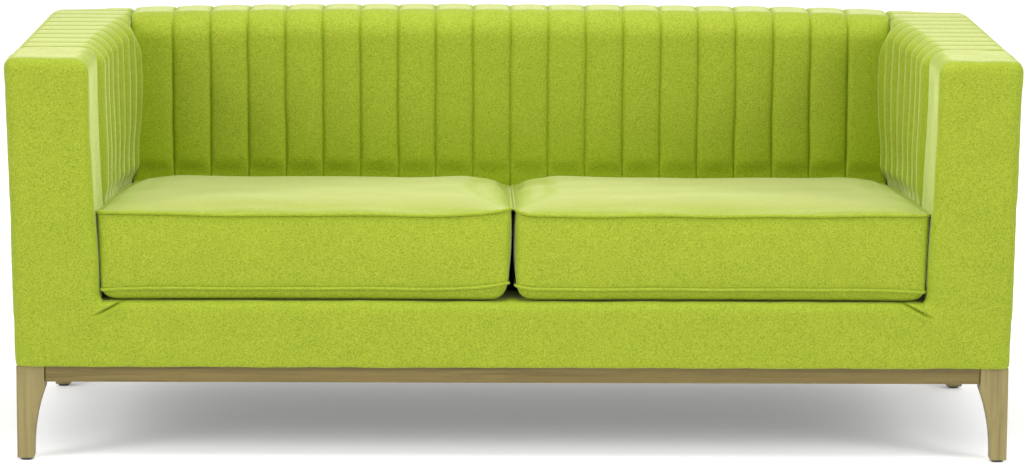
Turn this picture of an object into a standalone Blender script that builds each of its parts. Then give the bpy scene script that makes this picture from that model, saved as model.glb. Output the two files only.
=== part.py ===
"""Two-seat sofa with channel-stitched arms and back, two loose seat cushions and a wooden base.

Metres, +Z up. The origin is on the floor under the middle of the sofa. The sofa faces -Y, and
left and right are as seen from in front of it, so right is +X.
"""

import math

import bmesh
import bpy
from mathutils import Matrix, Vector

# Whole sofa
WIDTH_TOP = 1.766  # over the arms
WIDTH_BOTTOM = 1.742  # the sides lean in a little towards the floor
DEPTH = 0.840
ARM_TOP_Z = 0.710
BACK_TOP_Z = 0.720
BODY_BOTTOM_Z = 0.1720
GAP = 0.0005  # between pieces that touch

# Wooden base
BASE_WIDTH = 1.736
BASE_FRONT_Y = -0.410
BASE_BACK_Y = 0.270
BASE_TOP_Z = 0.170
LEG_HEAD = 0.049  # section of a leg where the rails meet it
LEG_FOOT = 0.0295
LEG_TAPER_TOP_Z = 0.128
LEG_TAPER_POWER = 2.4
LEG_TAPER_STEPS = 8
LEG_EDGE = 0.002
RAIL_HEIGHT = 0.030
RAIL_THICKNESS = 0.024
RAIL_SETBACK = 0.004  # rails sit back from the legs' outer faces
RAIL_EDGE = 0.0015
BLOCK_REACH = 0.072  # how far a corner block runs along each rail
BLOCK_HEIGHT = 0.028
GLIDE_RADIUS = 0.0105
GLIDE_HEIGHT = 0.004
GLIDE_PIN_RADIUS = 0.0015
GLIDE_PIN_LENGTH = 0.016
TURNED_SIDES = 16  # of glides, bolts and the holes they sit in
BOLT_RADIUS = 0.004
BOLT_HEAD_RADIUS = 0.0075
BOLT_HEAD_HEIGHT = 0.005
BOLT_LENGTH = 0.062
BOLT_FROM_CORNER = (0.082, 0.048)  # inwards from the base's outer corner

# Inner frame of boards
PANEL_INNER_X = 0.8565  # inner face of the outer side panels
FRAME_WIDTH_X = 0.080  # posts and top rails, across the arm
FRAME_BOARD = 0.050
FRAME_TOP_BOARD = 0.030
FRAME_FRONT_Y = -0.396
FRAME_BACK_Y = 0.390
BACK_FRAME_DEPTH = 0.080
SEAT_RAIL_TOP_Z = 0.262
PAD_OVER_FRAME = 0.0245  # padding between the frame's top and the arm's top
CENTRE_POST_WIDTH = 0.070
DUST_COVER_EDGE = 0.0003

# Padding and outer panels
ARM_INNER_X = 0.728
BACK_FRONT_Y = 0.265
FRONT_PAD_THICKNESS = 0.0235
BACK_PAD_BOTTOM_Z = 0.236
INNER_ROUND = 0.024  # inner top edge of arms and back
OUTER_ROUND = 0.016
PAD_EDGE = 0.006
ARC_STEPS = 5

# Seat: springs, deck and cushions lie on one plane, pitched down towards the back
SEAT_PITCH = math.radians(3.0)
SEAT_FRONT_Y = -0.400
SEAT_FRONT_Z = 0.2885
DECK_THICKNESS = 0.018
DECK_LENGTH = 0.660
DECK_EDGE = 0.004
SPRING_WIRE = 0.004
SPRINGS_PER_SEAT = 4
SPRING_PITCH = 0.170
SPRING_HALF_WIDTH = 0.024
SPRING_WAVES = 7
SPRING_WAVE_POINTS = 6
SPRING_START = 0.030  # along the seat plane, on the front rail
SPRING_END = 0.632  # on the spring rail
SPRING_TAIL = 0.030  # straight end that lies on a rail
SPRING_RAIL_Y = (0.197, 0.247)

CUSHION_WIDTH = 0.717
CUSHION_DEPTH = 0.666
CUSHION_EDGE_HEIGHT = 0.132  # between the two piped seams
CUSHION_TOP_CROWN = 0.021
CUSHION_BOTTOM_CROWN = 0.018
CUSHION_ROUND = 0.012
CROWN_LINES = (0.4, 0.75, 0.92)  # where the crowned faces are divided, as shares of the half width
TOP_POWER = 3  # the top is domed
BOTTOM_POWER = 9  # the bottom is flat, and turns up only near its edges
CUSHION_SPLIT = 0.0035  # half the gap between the cushions
COVER_THICKNESS = 0.002
ZIP_LENGTH = 0.610
ZIP_SLIT = 0.006
ZIP_TAPE_WIDTH = 0.026
ZIP_TAPE_THICKNESS = 0.0008
SLIDER_SIZE = (0.010, 0.0024, 0.011)
SLIDER_EDGE = 0.0005
SLIDER_TAB = (0.005, 0.0012, 0.026)

SIDES = (("left", -1), ("right", 1))
ENDS = (("front", -1), ("back", 1))


# ---------------------------------------------------------------- scene and materials


def clear_scene():
    for obj in list(bpy.data.objects):
        bpy.data.objects.remove(obj, do_unlink=True)


def new_collection(name):
    collection = bpy.data.collections.new(name)
    bpy.context.scene.collection.children.link(collection)
    return collection


def material(name, colour, roughness, metallic=0.0):
    made = bpy.data.materials.new(name)
    made.use_nodes = True
    shader = made.node_tree.nodes["Principled BSDF"]
    shader.inputs["Base Color"].default_value = (*colour, 1.0)
    shader.inputs["Roughness"].default_value = roughness
    shader.inputs["Metallic"].default_value = metallic
    return made


def finish(obj, name, look, collection=None, parent=None):
    """Names obj, gives it its own copy of a material, and files it in its collection."""
    obj.name = name
    obj.data.name = name
    obj.data.materials.clear()
    own = look.copy()
    own.name = name
    obj.data.materials.append(own)
    for old in list(obj.users_collection):
        old.objects.unlink(obj)
    (collection or SOFA).objects.link(obj)
    obj.parent = parent
    return obj


# ---------------------------------------------------------------- shape helpers


def smooth_mesh(shape, name):
    """A mesh from a bmesh, shaded smooth but for its sharp edges."""
    mesh = bpy.data.meshes.new(name)
    shape.to_mesh(mesh)
    shape.free()
    mesh.shade_smooth()
    mesh.set_sharp_from_angle(angle=math.radians(40))
    return mesh


def bevel(obj, width, segments=1):
    made = obj.modifiers.new("edge", "BEVEL")
    made.width = width
    made.segments = segments
    made.limit_method = "ANGLE"
    made.angle_limit = math.radians(50)


def board(name, low, high, look, edge=0.001, segments=1, parent=None):
    """A straight board or slab between two corners, with its edges eased."""
    low, high = Vector(low), Vector(high)
    bpy.ops.mesh.primitive_cube_add(size=1.0, location=(low + high) / 2)
    obj = bpy.context.object
    obj.data.transform(Matrix.Diagonal((*(high - low), 1.0)))
    bevel(obj, edge, segments)
    return finish(obj, name, look, parent=parent)


def sided(side, inner, outer):
    """The low and high X of a piece that lies from inner to outer on one side."""
    return sorted((side * inner, side * outer))


def arc(centre, radius, start, end):
    """Points of an arc, angles in degrees, both ends included."""
    angles = [math.radians(start + (end - start) * i / ARC_STEPS) for i in range(ARC_STEPS + 1)]
    return [(centre[0] + radius * math.cos(a), centre[1] + radius * math.sin(a)) for a in angles]


def outline(name, points, thickness, look, location=(0, 0, 0), rotation=(0, 0, 0), edge=0.0):
    """A flat outline in its own XY plane, made thick along its own Z and turned into a mesh."""
    curve = bpy.data.curves.new(name, "CURVE")
    curve.dimensions = "2D"
    curve.fill_mode = "BOTH"
    curve.extrude = thickness / 2
    spline = curve.splines.new("POLY")
    spline.points.add(len(points) - 1)
    for point, (x, y) in zip(spline.points, points):
        point.co = (x, y, 0, 1)
    spline.use_cyclic_u = True
    guide = bpy.data.objects.new(name, curve)
    guide.location = location
    guide.rotation_euler = rotation
    bpy.context.scene.collection.objects.link(guide)
    bpy.context.view_layer.update()
    mesh = bpy.data.meshes.new_from_object(guide.evaluated_get(bpy.context.evaluated_depsgraph_get()))
    shape = bmesh.new()
    shape.from_mesh(mesh)
    bmesh.ops.remove_doubles(shape, verts=shape.verts, dist=0.00001)
    bmesh.ops.dissolve_limit(
        shape, angle_limit=math.radians(0.1), verts=shape.verts, edges=shape.edges
    )
    bmesh.ops.recalc_face_normals(shape, faces=shape.faces)
    obj = bpy.data.objects.new(name, smooth_mesh(shape, name))
    obj.matrix_world = guide.matrix_world
    bpy.data.meshes.remove(mesh)
    bpy.data.objects.remove(guide)
    bpy.data.curves.remove(curve)
    if edge:
        bevel(obj, edge, 2)
    return finish(obj, name, look)


def turned(name, profile, location, look):
    """A solid of revolution about its own Z, from (radius, height) points, top to bottom."""
    mesh = bpy.data.meshes.new(name)
    shape = bmesh.new()
    points = [shape.verts.new((radius, 0, height)) for radius, height in profile]
    for first, second in zip(points, points[1:]):
        shape.edges.new((first, second))
    shape.to_mesh(mesh)
    shape.free()
    obj = bpy.data.objects.new(name, mesh)
    obj.location = location
    screw = obj.modifiers.new("turn", "SCREW")
    screw.steps = screw.render_steps = TURNED_SIDES
    screw.use_merge_vertices = True
    screw.merge_threshold = 0.00001
    screw.use_smooth_shade = True
    return finish(obj, name, look)


def as_cutter(obj, name):
    finish(obj, name, PLAIN, CUTTERS)
    obj.hide_render = True
    obj.display_type = "WIRE"
    return obj


def round_cutter(name, radius, low, high):
    """A round hole's cutter from the low end of its axis to the high one, upright."""
    low, high = Vector(low), Vector(high)
    bpy.ops.mesh.primitive_cylinder_add(
        vertices=TURNED_SIDES, radius=radius, depth=(high - low).length, location=(low + high) / 2
    )
    return as_cutter(bpy.context.object, name)


def boolean(obj, other, operation="DIFFERENCE"):
    made = obj.modifiers.new(other.name, "BOOLEAN")
    made.operation = operation
    made.object = other
    made.solver = "EXACT"


# ---------------------------------------------------------------- wooden base


def leg_width(z):
    """A leg is square and full down to the rails' underside, then thins in a hollow curve."""
    share = min(1.0, max(0.0, (z - GLIDE_HEIGHT) / (LEG_TAPER_TOP_Z - GLIDE_HEIGHT)))
    return LEG_FOOT + (LEG_HEAD - LEG_FOOT) * share**LEG_TAPER_POWER


def corner(side, end):
    """The base's outer corner, on the floor."""
    return Vector((side * BASE_WIDTH / 2, BASE_FRONT_Y if end < 0 else BASE_BACK_Y, 0))


def leg(name, side, end):
    low, high = GLIDE_HEIGHT + GAP, BASE_TOP_Z
    shape = bmesh.new()
    place = Matrix.Translation((0.5, 0.5, (low + high) / 2)) @ Matrix.Diagonal((1, 1, high - low, 1))
    bmesh.ops.create_cube(shape, size=1.0, matrix=place)
    for step in range(1, LEG_TAPER_STEPS + 1):
        height = low + (LEG_TAPER_TOP_Z - low) * step / LEG_TAPER_STEPS
        geometry = shape.verts[:] + shape.edges[:] + shape.faces[:]
        bmesh.ops.bisect_plane(shape, geom=geometry, plane_co=(0, 0, height), plane_no=(0, 0, 1))
    for vertex in shape.verts:
        width = leg_width(vertex.co.z)
        vertex.co.x *= -side * width
        vertex.co.y *= -end * width
    bmesh.ops.recalc_face_normals(shape, faces=shape.faces)
    obj = bpy.data.objects.new(name, smooth_mesh(shape, name))
    obj.location = corner(side, end)
    bevel(obj, LEG_EDGE, 2)
    return finish(obj, name, BEECH)


def foot_centre(side, end):
    inward = Vector((-side, -end, 0)) * LEG_FOOT / 2
    return corner(side, end) + inward


def glide(name, side, end):
    """A nail-on glide: a low disc with its pin standing up into the leg."""
    chamfer = 0.001
    profile = (
        (0, GLIDE_HEIGHT + GLIDE_PIN_LENGTH),
        (GLIDE_PIN_RADIUS, GLIDE_HEIGHT + GLIDE_PIN_LENGTH - 2 * chamfer),
        (GLIDE_PIN_RADIUS, GLIDE_HEIGHT),
        (GLIDE_RADIUS, GLIDE_HEIGHT),
        (GLIDE_RADIUS, chamfer),
        (GLIDE_RADIUS - chamfer, 0),
        (0, 0),
    )
    return turned(name, profile, foot_centre(side, end), NYLON)


def pin_hole(name, side, end):
    centre = foot_centre(side, end)
    top = Vector((0, 0, GLIDE_HEIGHT + GLIDE_PIN_LENGTH + 2 * GAP))
    return round_cutter(name, GLIDE_PIN_RADIUS + GAP, centre, centre + top)


def make_legs():
    for end_name, end in ENDS:
        for side_name, side in SIDES:
            where = f"{end_name}_{side_name}"
            made = leg(f"leg_{where}", side, end)
            glide(f"glide_{where}", side, end)
            boolean(made, pin_hole(f"glide_hole_{where}", side, end))


def rail_faces(axis_half):
    """The outer and inner face of a base rail, as distances from the base's middle line."""
    outer = axis_half - RAIL_SETBACK
    return outer, outer - RAIL_THICKNESS


BASE_MIDDLE_Y = (BASE_FRONT_Y + BASE_BACK_Y) / 2
BASE_HALF_Y = (BASE_BACK_Y - BASE_FRONT_Y) / 2


def make_base_rails():
    low_z, high_z = BASE_TOP_Z - RAIL_HEIGHT, BASE_TOP_Z
    half_x = BASE_WIDTH / 2 - LEG_HEAD - GAP
    outer, inner = rail_faces(BASE_HALF_Y)
    for name, end in ENDS:
        ys = sorted((BASE_MIDDLE_Y + end * inner, BASE_MIDDLE_Y + end * outer))
        board(f"base_rail_{name}", (-half_x, ys[0], low_z), (half_x, ys[1], high_z), BEECH, RAIL_EDGE, 2)
    half_y = BASE_HALF_Y - LEG_HEAD - GAP
    outer, inner = rail_faces(BASE_WIDTH / 2)
    for name, side in SIDES:
        xs = sided(side, inner, outer)
        low = (xs[0], BASE_MIDDLE_Y - half_y, low_z)
        high = (xs[1], BASE_MIDDLE_Y + half_y, high_z)
        board(f"base_rail_{name}", low, high, BEECH, RAIL_EDGE, 2)


def corner_block(name, side, end):
    """A glued block across the corner, notched round the leg. x and y run inwards from the corner."""
    rail = RAIL_SETBACK + RAIL_THICKNESS + GAP
    head = LEG_HEAD + GAP
    reach = LEG_HEAD + BLOCK_REACH
    points = ((reach, rail), (head, rail), (head, head), (rail, head), (rail, reach))
    flat = [(-side * x, -end * y) for x, y in points]
    middle_z = BASE_TOP_Z - BLOCK_HEIGHT / 2 - GAP
    place = corner(side, end) + Vector((0, 0, middle_z))
    return outline(name, flat, BLOCK_HEIGHT, BEECH, place, edge=0.001)


def bolt_place(side, end):
    """Where a base bolt's axis meets the floor."""
    x, y = BOLT_FROM_CORNER
    return corner(side, end) + Vector((-side * x, -end * y, 0))


def base_bolt(name, side, end):
    """A round-headed bolt, up through the corner block into the seat frame."""
    under = BASE_TOP_Z - BLOCK_HEIGHT - 2 * GAP
    profile = (
        (0, under + BOLT_LENGTH),
        (BOLT_RADIUS * 0.7, under + BOLT_LENGTH),
        (BOLT_RADIUS, under + BOLT_LENGTH - 0.0015),
        (BOLT_RADIUS, under),
        (BOLT_HEAD_RADIUS, under),
        (BOLT_HEAD_RADIUS, under - BOLT_HEAD_HEIGHT * 0.4),
        (BOLT_HEAD_RADIUS * 0.7, under - BOLT_HEAD_HEIGHT),
        (0, under - BOLT_HEAD_HEIGHT),
    )
    return turned(name, profile, bolt_place(side, end), ZINC)


def make_base_fastening():
    """Corner blocks, bolts, and the cutters that clear the bolts' way. Returns the cutters."""
    cutters = {}
    for end_name, end in ENDS:
        for side_name, side in SIDES:
            where = f"{end_name}_{side_name}"
            block = corner_block(f"corner_block_{where}", side, end)
            base_bolt(f"base_bolt_{where}", side, end)
            place = bolt_place(side, end)
            low = place + Vector((0, 0, BASE_TOP_Z - 2 * BLOCK_HEIGHT))
            high = place + Vector((0, 0, BASE_TOP_Z - BLOCK_HEIGHT + BOLT_LENGTH + 2 * GAP))
            cutters[where] = round_cutter(f"bolt_hole_{where}", BOLT_RADIUS + GAP, low, high)
            boolean(block, cutters[where])
    return cutters


# ---------------------------------------------------------------- inner frame


def seat_height(y, below):
    """World height of a line that runs a distance below the seat plane, at depth y."""
    return SEAT_FRONT_Z - (y - SEAT_FRONT_Y) * math.tan(SEAT_PITCH) - below / math.cos(SEAT_PITCH)


def make_seat_frame(cutters):
    half = PANEL_INNER_X - GAP
    low_z = BODY_BOTTOM_Z + GAP
    front = (FRAME_FRONT_Y, FRAME_FRONT_Y + FRAME_BOARD)
    back = (FRAME_BACK_Y - FRAME_BOARD, FRAME_BACK_Y)
    front_rail = board(
        "seat_rail_front", (-half, front[0], low_z), (half, front[1], SEAT_RAIL_TOP_Z), PINE
    )
    board("seat_rail_back", (-half, back[0], low_z), (half, back[1], SEAT_RAIL_TOP_Z), PINE)
    for name, side in SIDES:
        xs = sided(side, half - FRAME_BOARD, half)
        low = (xs[0], front[1] + GAP, low_z)
        high = (xs[1], back[0] - GAP, SEAT_RAIL_TOP_Z)
        board(f"seat_rail_{name}", low, high, PINE)
    half_inner = half - FRAME_BOARD - GAP
    wire_below = DECK_THICKNESS + 2 * GAP + SPRING_WIRE
    spring_top = seat_height(SPRING_RAIL_Y[1], wire_below) - GAP
    spring_rail = board(
        "spring_rail",
        (-half_inner, SPRING_RAIL_Y[0], low_z),
        (half_inner, SPRING_RAIL_Y[1], spring_top),
        PINE,
    )
    for side_name, _ in SIDES:
        boolean(front_rail, cutters[f"front_{side_name}"])
        boolean(spring_rail, cutters[f"back_{side_name}"])


def make_arm_frames():
    outer = PANEL_INNER_X - GAP
    inner = outer - FRAME_WIDTH_X
    post_low = SEAT_RAIL_TOP_Z + GAP
    top_high = ARM_TOP_Z - PAD_OVER_FRAME - GAP
    top_low = top_high - FRAME_TOP_BOARD
    post_high = top_low - GAP
    for name, side in SIDES:
        xs = sided(side, inner, outer)
        board(
            f"arm_post_front_{name}",
            (xs[0], FRAME_FRONT_Y, post_low),
            (xs[1], FRAME_FRONT_Y + FRAME_BOARD, post_high),
            PINE,
        )
        board(
            f"arm_post_back_{name}",
            (xs[0], FRAME_BACK_Y - BACK_FRAME_DEPTH, post_low),
            (xs[1], FRAME_BACK_Y, post_high),
            PINE,
        )
        board(
            f"arm_top_rail_{name}",
            (xs[0], FRAME_FRONT_Y, top_low),
            (xs[1], FRAME_BACK_Y, top_high),
            PINE,
        )
    half = inner - GAP
    board(
        "back_top_rail",
        (-half, FRAME_BACK_Y - BACK_FRAME_DEPTH, top_low),
        (half, FRAME_BACK_Y, top_high),
        PINE,
    )
    board(
        "back_post_centre",
        (-CENTRE_POST_WIDTH / 2, FRAME_BACK_Y - BACK_FRAME_DEPTH, post_low),
        (CENTRE_POST_WIDTH / 2, FRAME_BACK_Y, post_high),
        PINE,
    )


# ---------------------------------------------------------------- padding and panels


def half_width(z):
    """Half the body's width at a height: the sides lean outwards as they rise."""
    share = (z - BODY_BOTTOM_Z) / (ARM_TOP_Z - BODY_BOTTOM_Z)
    return (WIDTH_BOTTOM + (WIDTH_TOP - WIDTH_BOTTOM) * share) / 2


def side_points(side, points):
    return [(side * x, z) for x, z in points]


UPRIGHT_ALONG_Y = (math.radians(90), 0, 0)  # outline's X to X, its Y to Z, thickness along Y
UPRIGHT_ALONG_X = (math.radians(90), 0, math.radians(90))  # X to Y, Y to Z, thickness along X


def inner_round(inner, top):
    """The inner top edge of a padded wall, going over the top and down its inner face."""
    return arc((inner + INNER_ROUND, top - INNER_ROUND), INNER_ROUND, 90, 180)


def make_arm_pads():
    """Foam that covers the arm's inner face and its top in one piece."""
    frame_inner = PANEL_INNER_X - GAP - FRAME_WIDTH_X
    over_frame = ARM_TOP_Z - PAD_OVER_FRAME
    low_y, high_y = FRAME_FRONT_Y, FRAME_BACK_Y
    section = [
        (ARM_INNER_X, SEAT_RAIL_TOP_Z + GAP),
        (frame_inner - GAP, SEAT_RAIL_TOP_Z + GAP),
        (frame_inner - GAP, over_frame),
        (PANEL_INNER_X - GAP, over_frame),
        (PANEL_INNER_X - GAP, ARM_TOP_Z),
        *inner_round(ARM_INNER_X, ARM_TOP_Z),
    ]
    for name, side in SIDES:
        pad = outline(
            f"arm_pad_{name}",
            side_points(side, section),
            high_y - low_y,
            FOAM_PAD,
            (0, (low_y + high_y) / 2, 0),
            UPRIGHT_ALONG_Y,
        )
        boolean(pad, back_frame_recess(f"back_frame_recess_{name}", side, over_frame))


def back_frame_recess(name, side, top_z):
    """Cuts the arm's inner padding off where the back frame joins the arm."""
    front_y = FRAME_BACK_Y - BACK_FRAME_DEPTH - GAP
    frame_inner = PANEL_INNER_X - GAP - FRAME_WIDTH_X
    low = Vector((ARM_INNER_X - FRAME_BOARD, front_y, SEAT_RAIL_TOP_Z - FRAME_BOARD))
    high = Vector((frame_inner + FRAME_BOARD / 2, FRAME_BACK_Y + FRAME_BOARD, top_z))
    bpy.ops.mesh.primitive_cube_add(size=1.0, location=(low + high) / 2)
    obj = bpy.context.object
    obj.location.x *= side
    obj.data.transform(Matrix.Diagonal((*(high - low), 1.0)))
    return as_cutter(obj, name)


def make_back_pad():
    over_frame = ARM_TOP_Z - PAD_OVER_FRAME
    frame_front = FRAME_BACK_Y - BACK_FRAME_DEPTH - GAP
    section = [
        (BACK_FRONT_Y, BACK_PAD_BOTTOM_Z),
        (frame_front, BACK_PAD_BOTTOM_Z),
        (frame_front, over_frame),
        (FRAME_BACK_Y, over_frame),
        (FRAME_BACK_Y, BACK_TOP_Z),
        *inner_round(BACK_FRONT_Y, BACK_TOP_Z),
    ]
    width = 2 * (ARM_INNER_X - GAP)
    outline("back_pad", section, width, FOAM_PAD, (0, 0, 0), UPRIGHT_ALONG_X)


def make_front_pads():
    """The smooth border round the seat opening: two arm fronts and the strip under the seat."""
    low_y = -DEPTH / 2
    middle_y = low_y + FRONT_PAD_THICKNESS / 2
    thickness = FRONT_PAD_THICKNESS
    outer_corner = (half_width(ARM_TOP_Z) - OUTER_ROUND, ARM_TOP_Z - OUTER_ROUND)
    face = [
        (ARM_INNER_X, BODY_BOTTOM_Z + GAP),
        (half_width(BODY_BOTTOM_Z), BODY_BOTTOM_Z + GAP),
        *arc(outer_corner, OUTER_ROUND, 0, 90),
        *inner_round(ARM_INNER_X, ARM_TOP_Z),
    ]
    for name, side in SIDES:
        outline(
            f"arm_front_pad_{name}",
            side_points(side, face),
            thickness,
            UPHOLSTERY,
            (0, middle_y, 0),
            UPRIGHT_ALONG_Y,
            PAD_EDGE,
        )
    half = ARM_INNER_X - GAP
    board(
        "base_front_pad",
        (-half, low_y, BODY_BOTTOM_Z + GAP),
        (half, low_y + thickness, SEAT_FRONT_Z - 2 * GAP),
        UPHOLSTERY,
        PAD_EDGE,
        2,
    )


def make_outer_panels():
    low_y, high_y = FRAME_FRONT_Y, FRAME_BACK_Y
    outer_corner = (half_width(ARM_TOP_Z) - OUTER_ROUND, ARM_TOP_Z - OUTER_ROUND)
    section = [
        (PANEL_INNER_X, BODY_BOTTOM_Z + GAP),
        (half_width(BODY_BOTTOM_Z), BODY_BOTTOM_Z + GAP),
        *arc(outer_corner, OUTER_ROUND, 0, 90),
        (PANEL_INNER_X, ARM_TOP_Z),
    ]
    for name, side in SIDES:
        outline(
            f"side_panel_{name}",
            side_points(side, section),
            high_y - low_y,
            UPHOLSTERY,
            (0, (low_y + high_y) / 2, 0),
            UPRIGHT_ALONG_Y,
        )
    right = [
        (half_width(BODY_BOTTOM_Z), BODY_BOTTOM_Z + GAP),
        *arc(outer_corner, OUTER_ROUND, 0, 90),
    ]
    left = [(-x, z) for x, z in reversed(right)]
    front_y = FRAME_BACK_Y + GAP
    outline(
        "back_panel",
        right + left,
        DEPTH / 2 - front_y,
        UPHOLSTERY,
        (0, (front_y + DEPTH / 2) / 2, 0),
        UPRIGHT_ALONG_Y,
        PAD_EDGE,
    )


def make_dust_cover(cutters):
    """Thin cloth under the seat frame, with the base bolts through it."""
    low_z, high_z = BASE_TOP_Z + GAP, BODY_BOTTOM_Z
    half = PANEL_INNER_X - 2 * GAP
    cover = board(
        "dust_cover",
        (-half, FRAME_FRONT_Y + GAP, low_z),
        (half, FRAME_BACK_Y - GAP, high_z),
        NONWOVEN,
        DUST_COVER_EDGE,
    )
    for cutter in cutters.values():
        boolean(cover, cutter)


# ---------------------------------------------------------------- springs, deck and cushions


def spring_points():
    """A flat zigzag wire along +Y with rounded bends and a straight tail at each end."""
    start, end = SPRING_START + SPRING_TAIL, SPRING_END - SPRING_TAIL
    count = SPRING_WAVES * SPRING_WAVE_POINTS
    swing = SPRING_HALF_WIDTH / math.sin(math.radians(60))
    points = [(0, SPRING_START, 0)]
    for i in range(count + 1):
        along = start + (end - start) * i / count
        points.append((swing * math.sin(2 * math.pi * i / SPRING_WAVE_POINTS), along, 0))
    points.append((0, SPRING_END, 0))
    return points


def spring(name, x, seat_plane):
    curve = bpy.data.curves.new(name, "CURVE")
    curve.dimensions = "3D"
    curve.bevel_depth = SPRING_WIRE / 2
    curve.bevel_resolution = 1
    curve.use_fill_caps = True
    spline = curve.splines.new("POLY")
    points = spring_points()
    spline.points.add(len(points) - 1)
    for point, place in zip(spline.points, points):
        point.co = (*place, 1)
    obj = bpy.data.objects.new(name, curve)
    obj.location = (x, 0, -(DECK_THICKNESS + 2 * GAP + SPRING_WIRE / 2))
    return finish(obj, name, SPRING_STEEL, parent=seat_plane)


def seat_centre_x(side):
    return side * (CUSHION_SPLIT + CUSHION_WIDTH / 2)


def make_springs(seat_plane):
    for name, side in SIDES:
        for i in range(SPRINGS_PER_SEAT):
            offset = (i - (SPRINGS_PER_SEAT - 1) / 2) * SPRING_PITCH
            spring(f"seat_spring_{name}_{i + 1}", seat_centre_x(side) + offset, seat_plane)


def make_deck(seat_plane):
    half = ARM_INNER_X - GAP
    low = (-half, FRAME_FRONT_Y - SEAT_FRONT_Y + 2 * GAP, -DECK_THICKNESS)
    board("deck_pad", low, (half, DECK_LENGTH, 0), FOAM_PAD, DECK_EDGE, 2, seat_plane)


def cushion_mesh(name, inset):
    """A crowned box, its origin under the middle of its front edge at deck level."""
    shape = bmesh.new()
    bmesh.ops.create_cube(shape, size=2.0)
    for share in CROWN_LINES:
        for axis in ((1, 0, 0), (0, 1, 0)):
            for sign in (-1, 1):
                geometry = shape.verts[:] + shape.edges[:] + shape.faces[:]
                place = Vector(axis) * sign * share
                bmesh.ops.bisect_plane(shape, geom=geometry, plane_co=place, plane_no=axis)
    half = Vector((CUSHION_WIDTH / 2, CUSHION_DEPTH / 2, CUSHION_EDGE_HEIGHT / 2))
    for vertex in shape.verts:
        u, v, w = vertex.co
        if w > 0:
            rise = CUSHION_TOP_CROWN * (1 - abs(u) ** TOP_POWER) * (1 - abs(v) ** TOP_POWER)
        else:
            rise = -CUSHION_BOTTOM_CROWN * (1 - abs(u) ** BOTTOM_POWER) * (1 - abs(v) ** BOTTOM_POWER)
        vertex.co = (
            u * (half.x - inset),
            v * (half.y - inset) + half.y,
            w * (half.z - inset) + half.z + CUSHION_BOTTOM_CROWN + 2 * GAP + rise,
        )
    bmesh.ops.recalc_face_normals(shape, faces=shape.faces)
    return smooth_mesh(shape, name)


def cushion_cover(name, origin):
    """The sewn cover: a closed skin with one slit along its back for the zip."""
    obj = bpy.data.objects.new(name, cushion_mesh(name, 0.0))
    bevel(obj, CUSHION_ROUND, 2)
    skin = obj.modifiers.new("skin", "SOLIDIFY")
    skin.thickness = COVER_THICKNESS
    skin.offset = -1.0
    skin.use_even_offset = True
    finish(obj, name, UPHOLSTERY, parent=origin)
    bpy.ops.mesh.primitive_cube_add(size=1.0)
    slit = bpy.context.object
    slit.data.transform(Matrix.Diagonal((ZIP_LENGTH, 4 * COVER_THICKNESS, ZIP_SLIT, 1.0)))
    slit.location = (0, CUSHION_DEPTH - COVER_THICKNESS / 2, zip_height())
    as_cutter(slit, f"zip_slit_{name}")
    slit.parent = origin
    boolean(obj, slit)
    return obj


def zip_height():
    """Height of the zip above the deck, half way up the cushion's back edge."""
    return CUSHION_BOTTOM_CROWN + 2 * GAP + CUSHION_EDGE_HEIGHT / 2


def foam_core(name, origin):
    obj = bpy.data.objects.new(name, cushion_mesh(name, COVER_THICKNESS + GAP))
    bevel(obj, CUSHION_ROUND, 2)
    return finish(obj, name, FOAM_CORE, parent=origin)


def zip_tape(name, origin):
    half = ZIP_LENGTH / 2 + ZIP_TAPE_WIDTH / 2
    low_y = CUSHION_DEPTH + GAP
    low = (-half, low_y, zip_height() - ZIP_TAPE_WIDTH / 2)
    high = (half, low_y + ZIP_TAPE_THICKNESS, zip_height() + ZIP_TAPE_WIDTH / 2)
    return board(name, low, high, TAPE, ZIP_TAPE_THICKNESS / 4, 1, origin)


def zip_slider(name, origin):
    """The slider and its pull tab, at the left end of the zip: it runs along the tape in +X."""
    x = -ZIP_LENGTH / 2 + SLIDER_SIZE[0] / 2
    low_y = CUSHION_DEPTH + 2 * GAP + ZIP_TAPE_THICKNESS
    half_x, deep, half_z = SLIDER_SIZE[0] / 2, SLIDER_SIZE[1], SLIDER_SIZE[2] / 2
    low = (x - half_x, low_y, zip_height() - half_z)
    high = (x + half_x, low_y + deep, zip_height() + half_z)
    body = board(name, low, high, BRASS, SLIDER_EDGE, 1, origin)
    wide, thick, long = SLIDER_TAB
    bpy.ops.mesh.primitive_cube_add(size=1.0)
    tab = bpy.context.object
    tab.data.transform(Matrix.Diagonal((wide, thick, long, 1.0)))
    tab.location = (x, low_y + deep - thick / 2, zip_height() - long / 2)
    as_cutter(tab, f"pull_tab_{name}")
    tab.parent = origin
    boolean(body, tab, "UNION")
    return body


def make_cushions(seat_plane):
    for name, side in SIDES:
        origin = bpy.data.objects.new(f"cushion_origin_{name}", None)
        SOFA.objects.link(origin)
        origin.parent = seat_plane
        origin.location = (seat_centre_x(side), BASE_FRONT_Y - SEAT_FRONT_Y, 0)
        cushion_cover(f"cushion_cover_{name}", origin)
        foam_core(f"cushion_foam_{name}", origin)
        zip_tape(f"zip_tape_{name}", origin)
        zip_slider(f"zip_slider_{name}", origin)


def make_seat():
    seat_plane = bpy.data.objects.new("seat_plane", None)
    seat_plane.location = (0, SEAT_FRONT_Y, SEAT_FRONT_Z)
    seat_plane.rotation_euler = (-SEAT_PITCH, 0, 0)
    SOFA.objects.link(seat_plane)
    make_springs(seat_plane)
    make_deck(seat_plane)
    make_cushions(seat_plane)


clear_scene()
SOFA = new_collection("sofa")
CUTTERS = new_collection("cutters")
CUTTERS.hide_render = True

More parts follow.
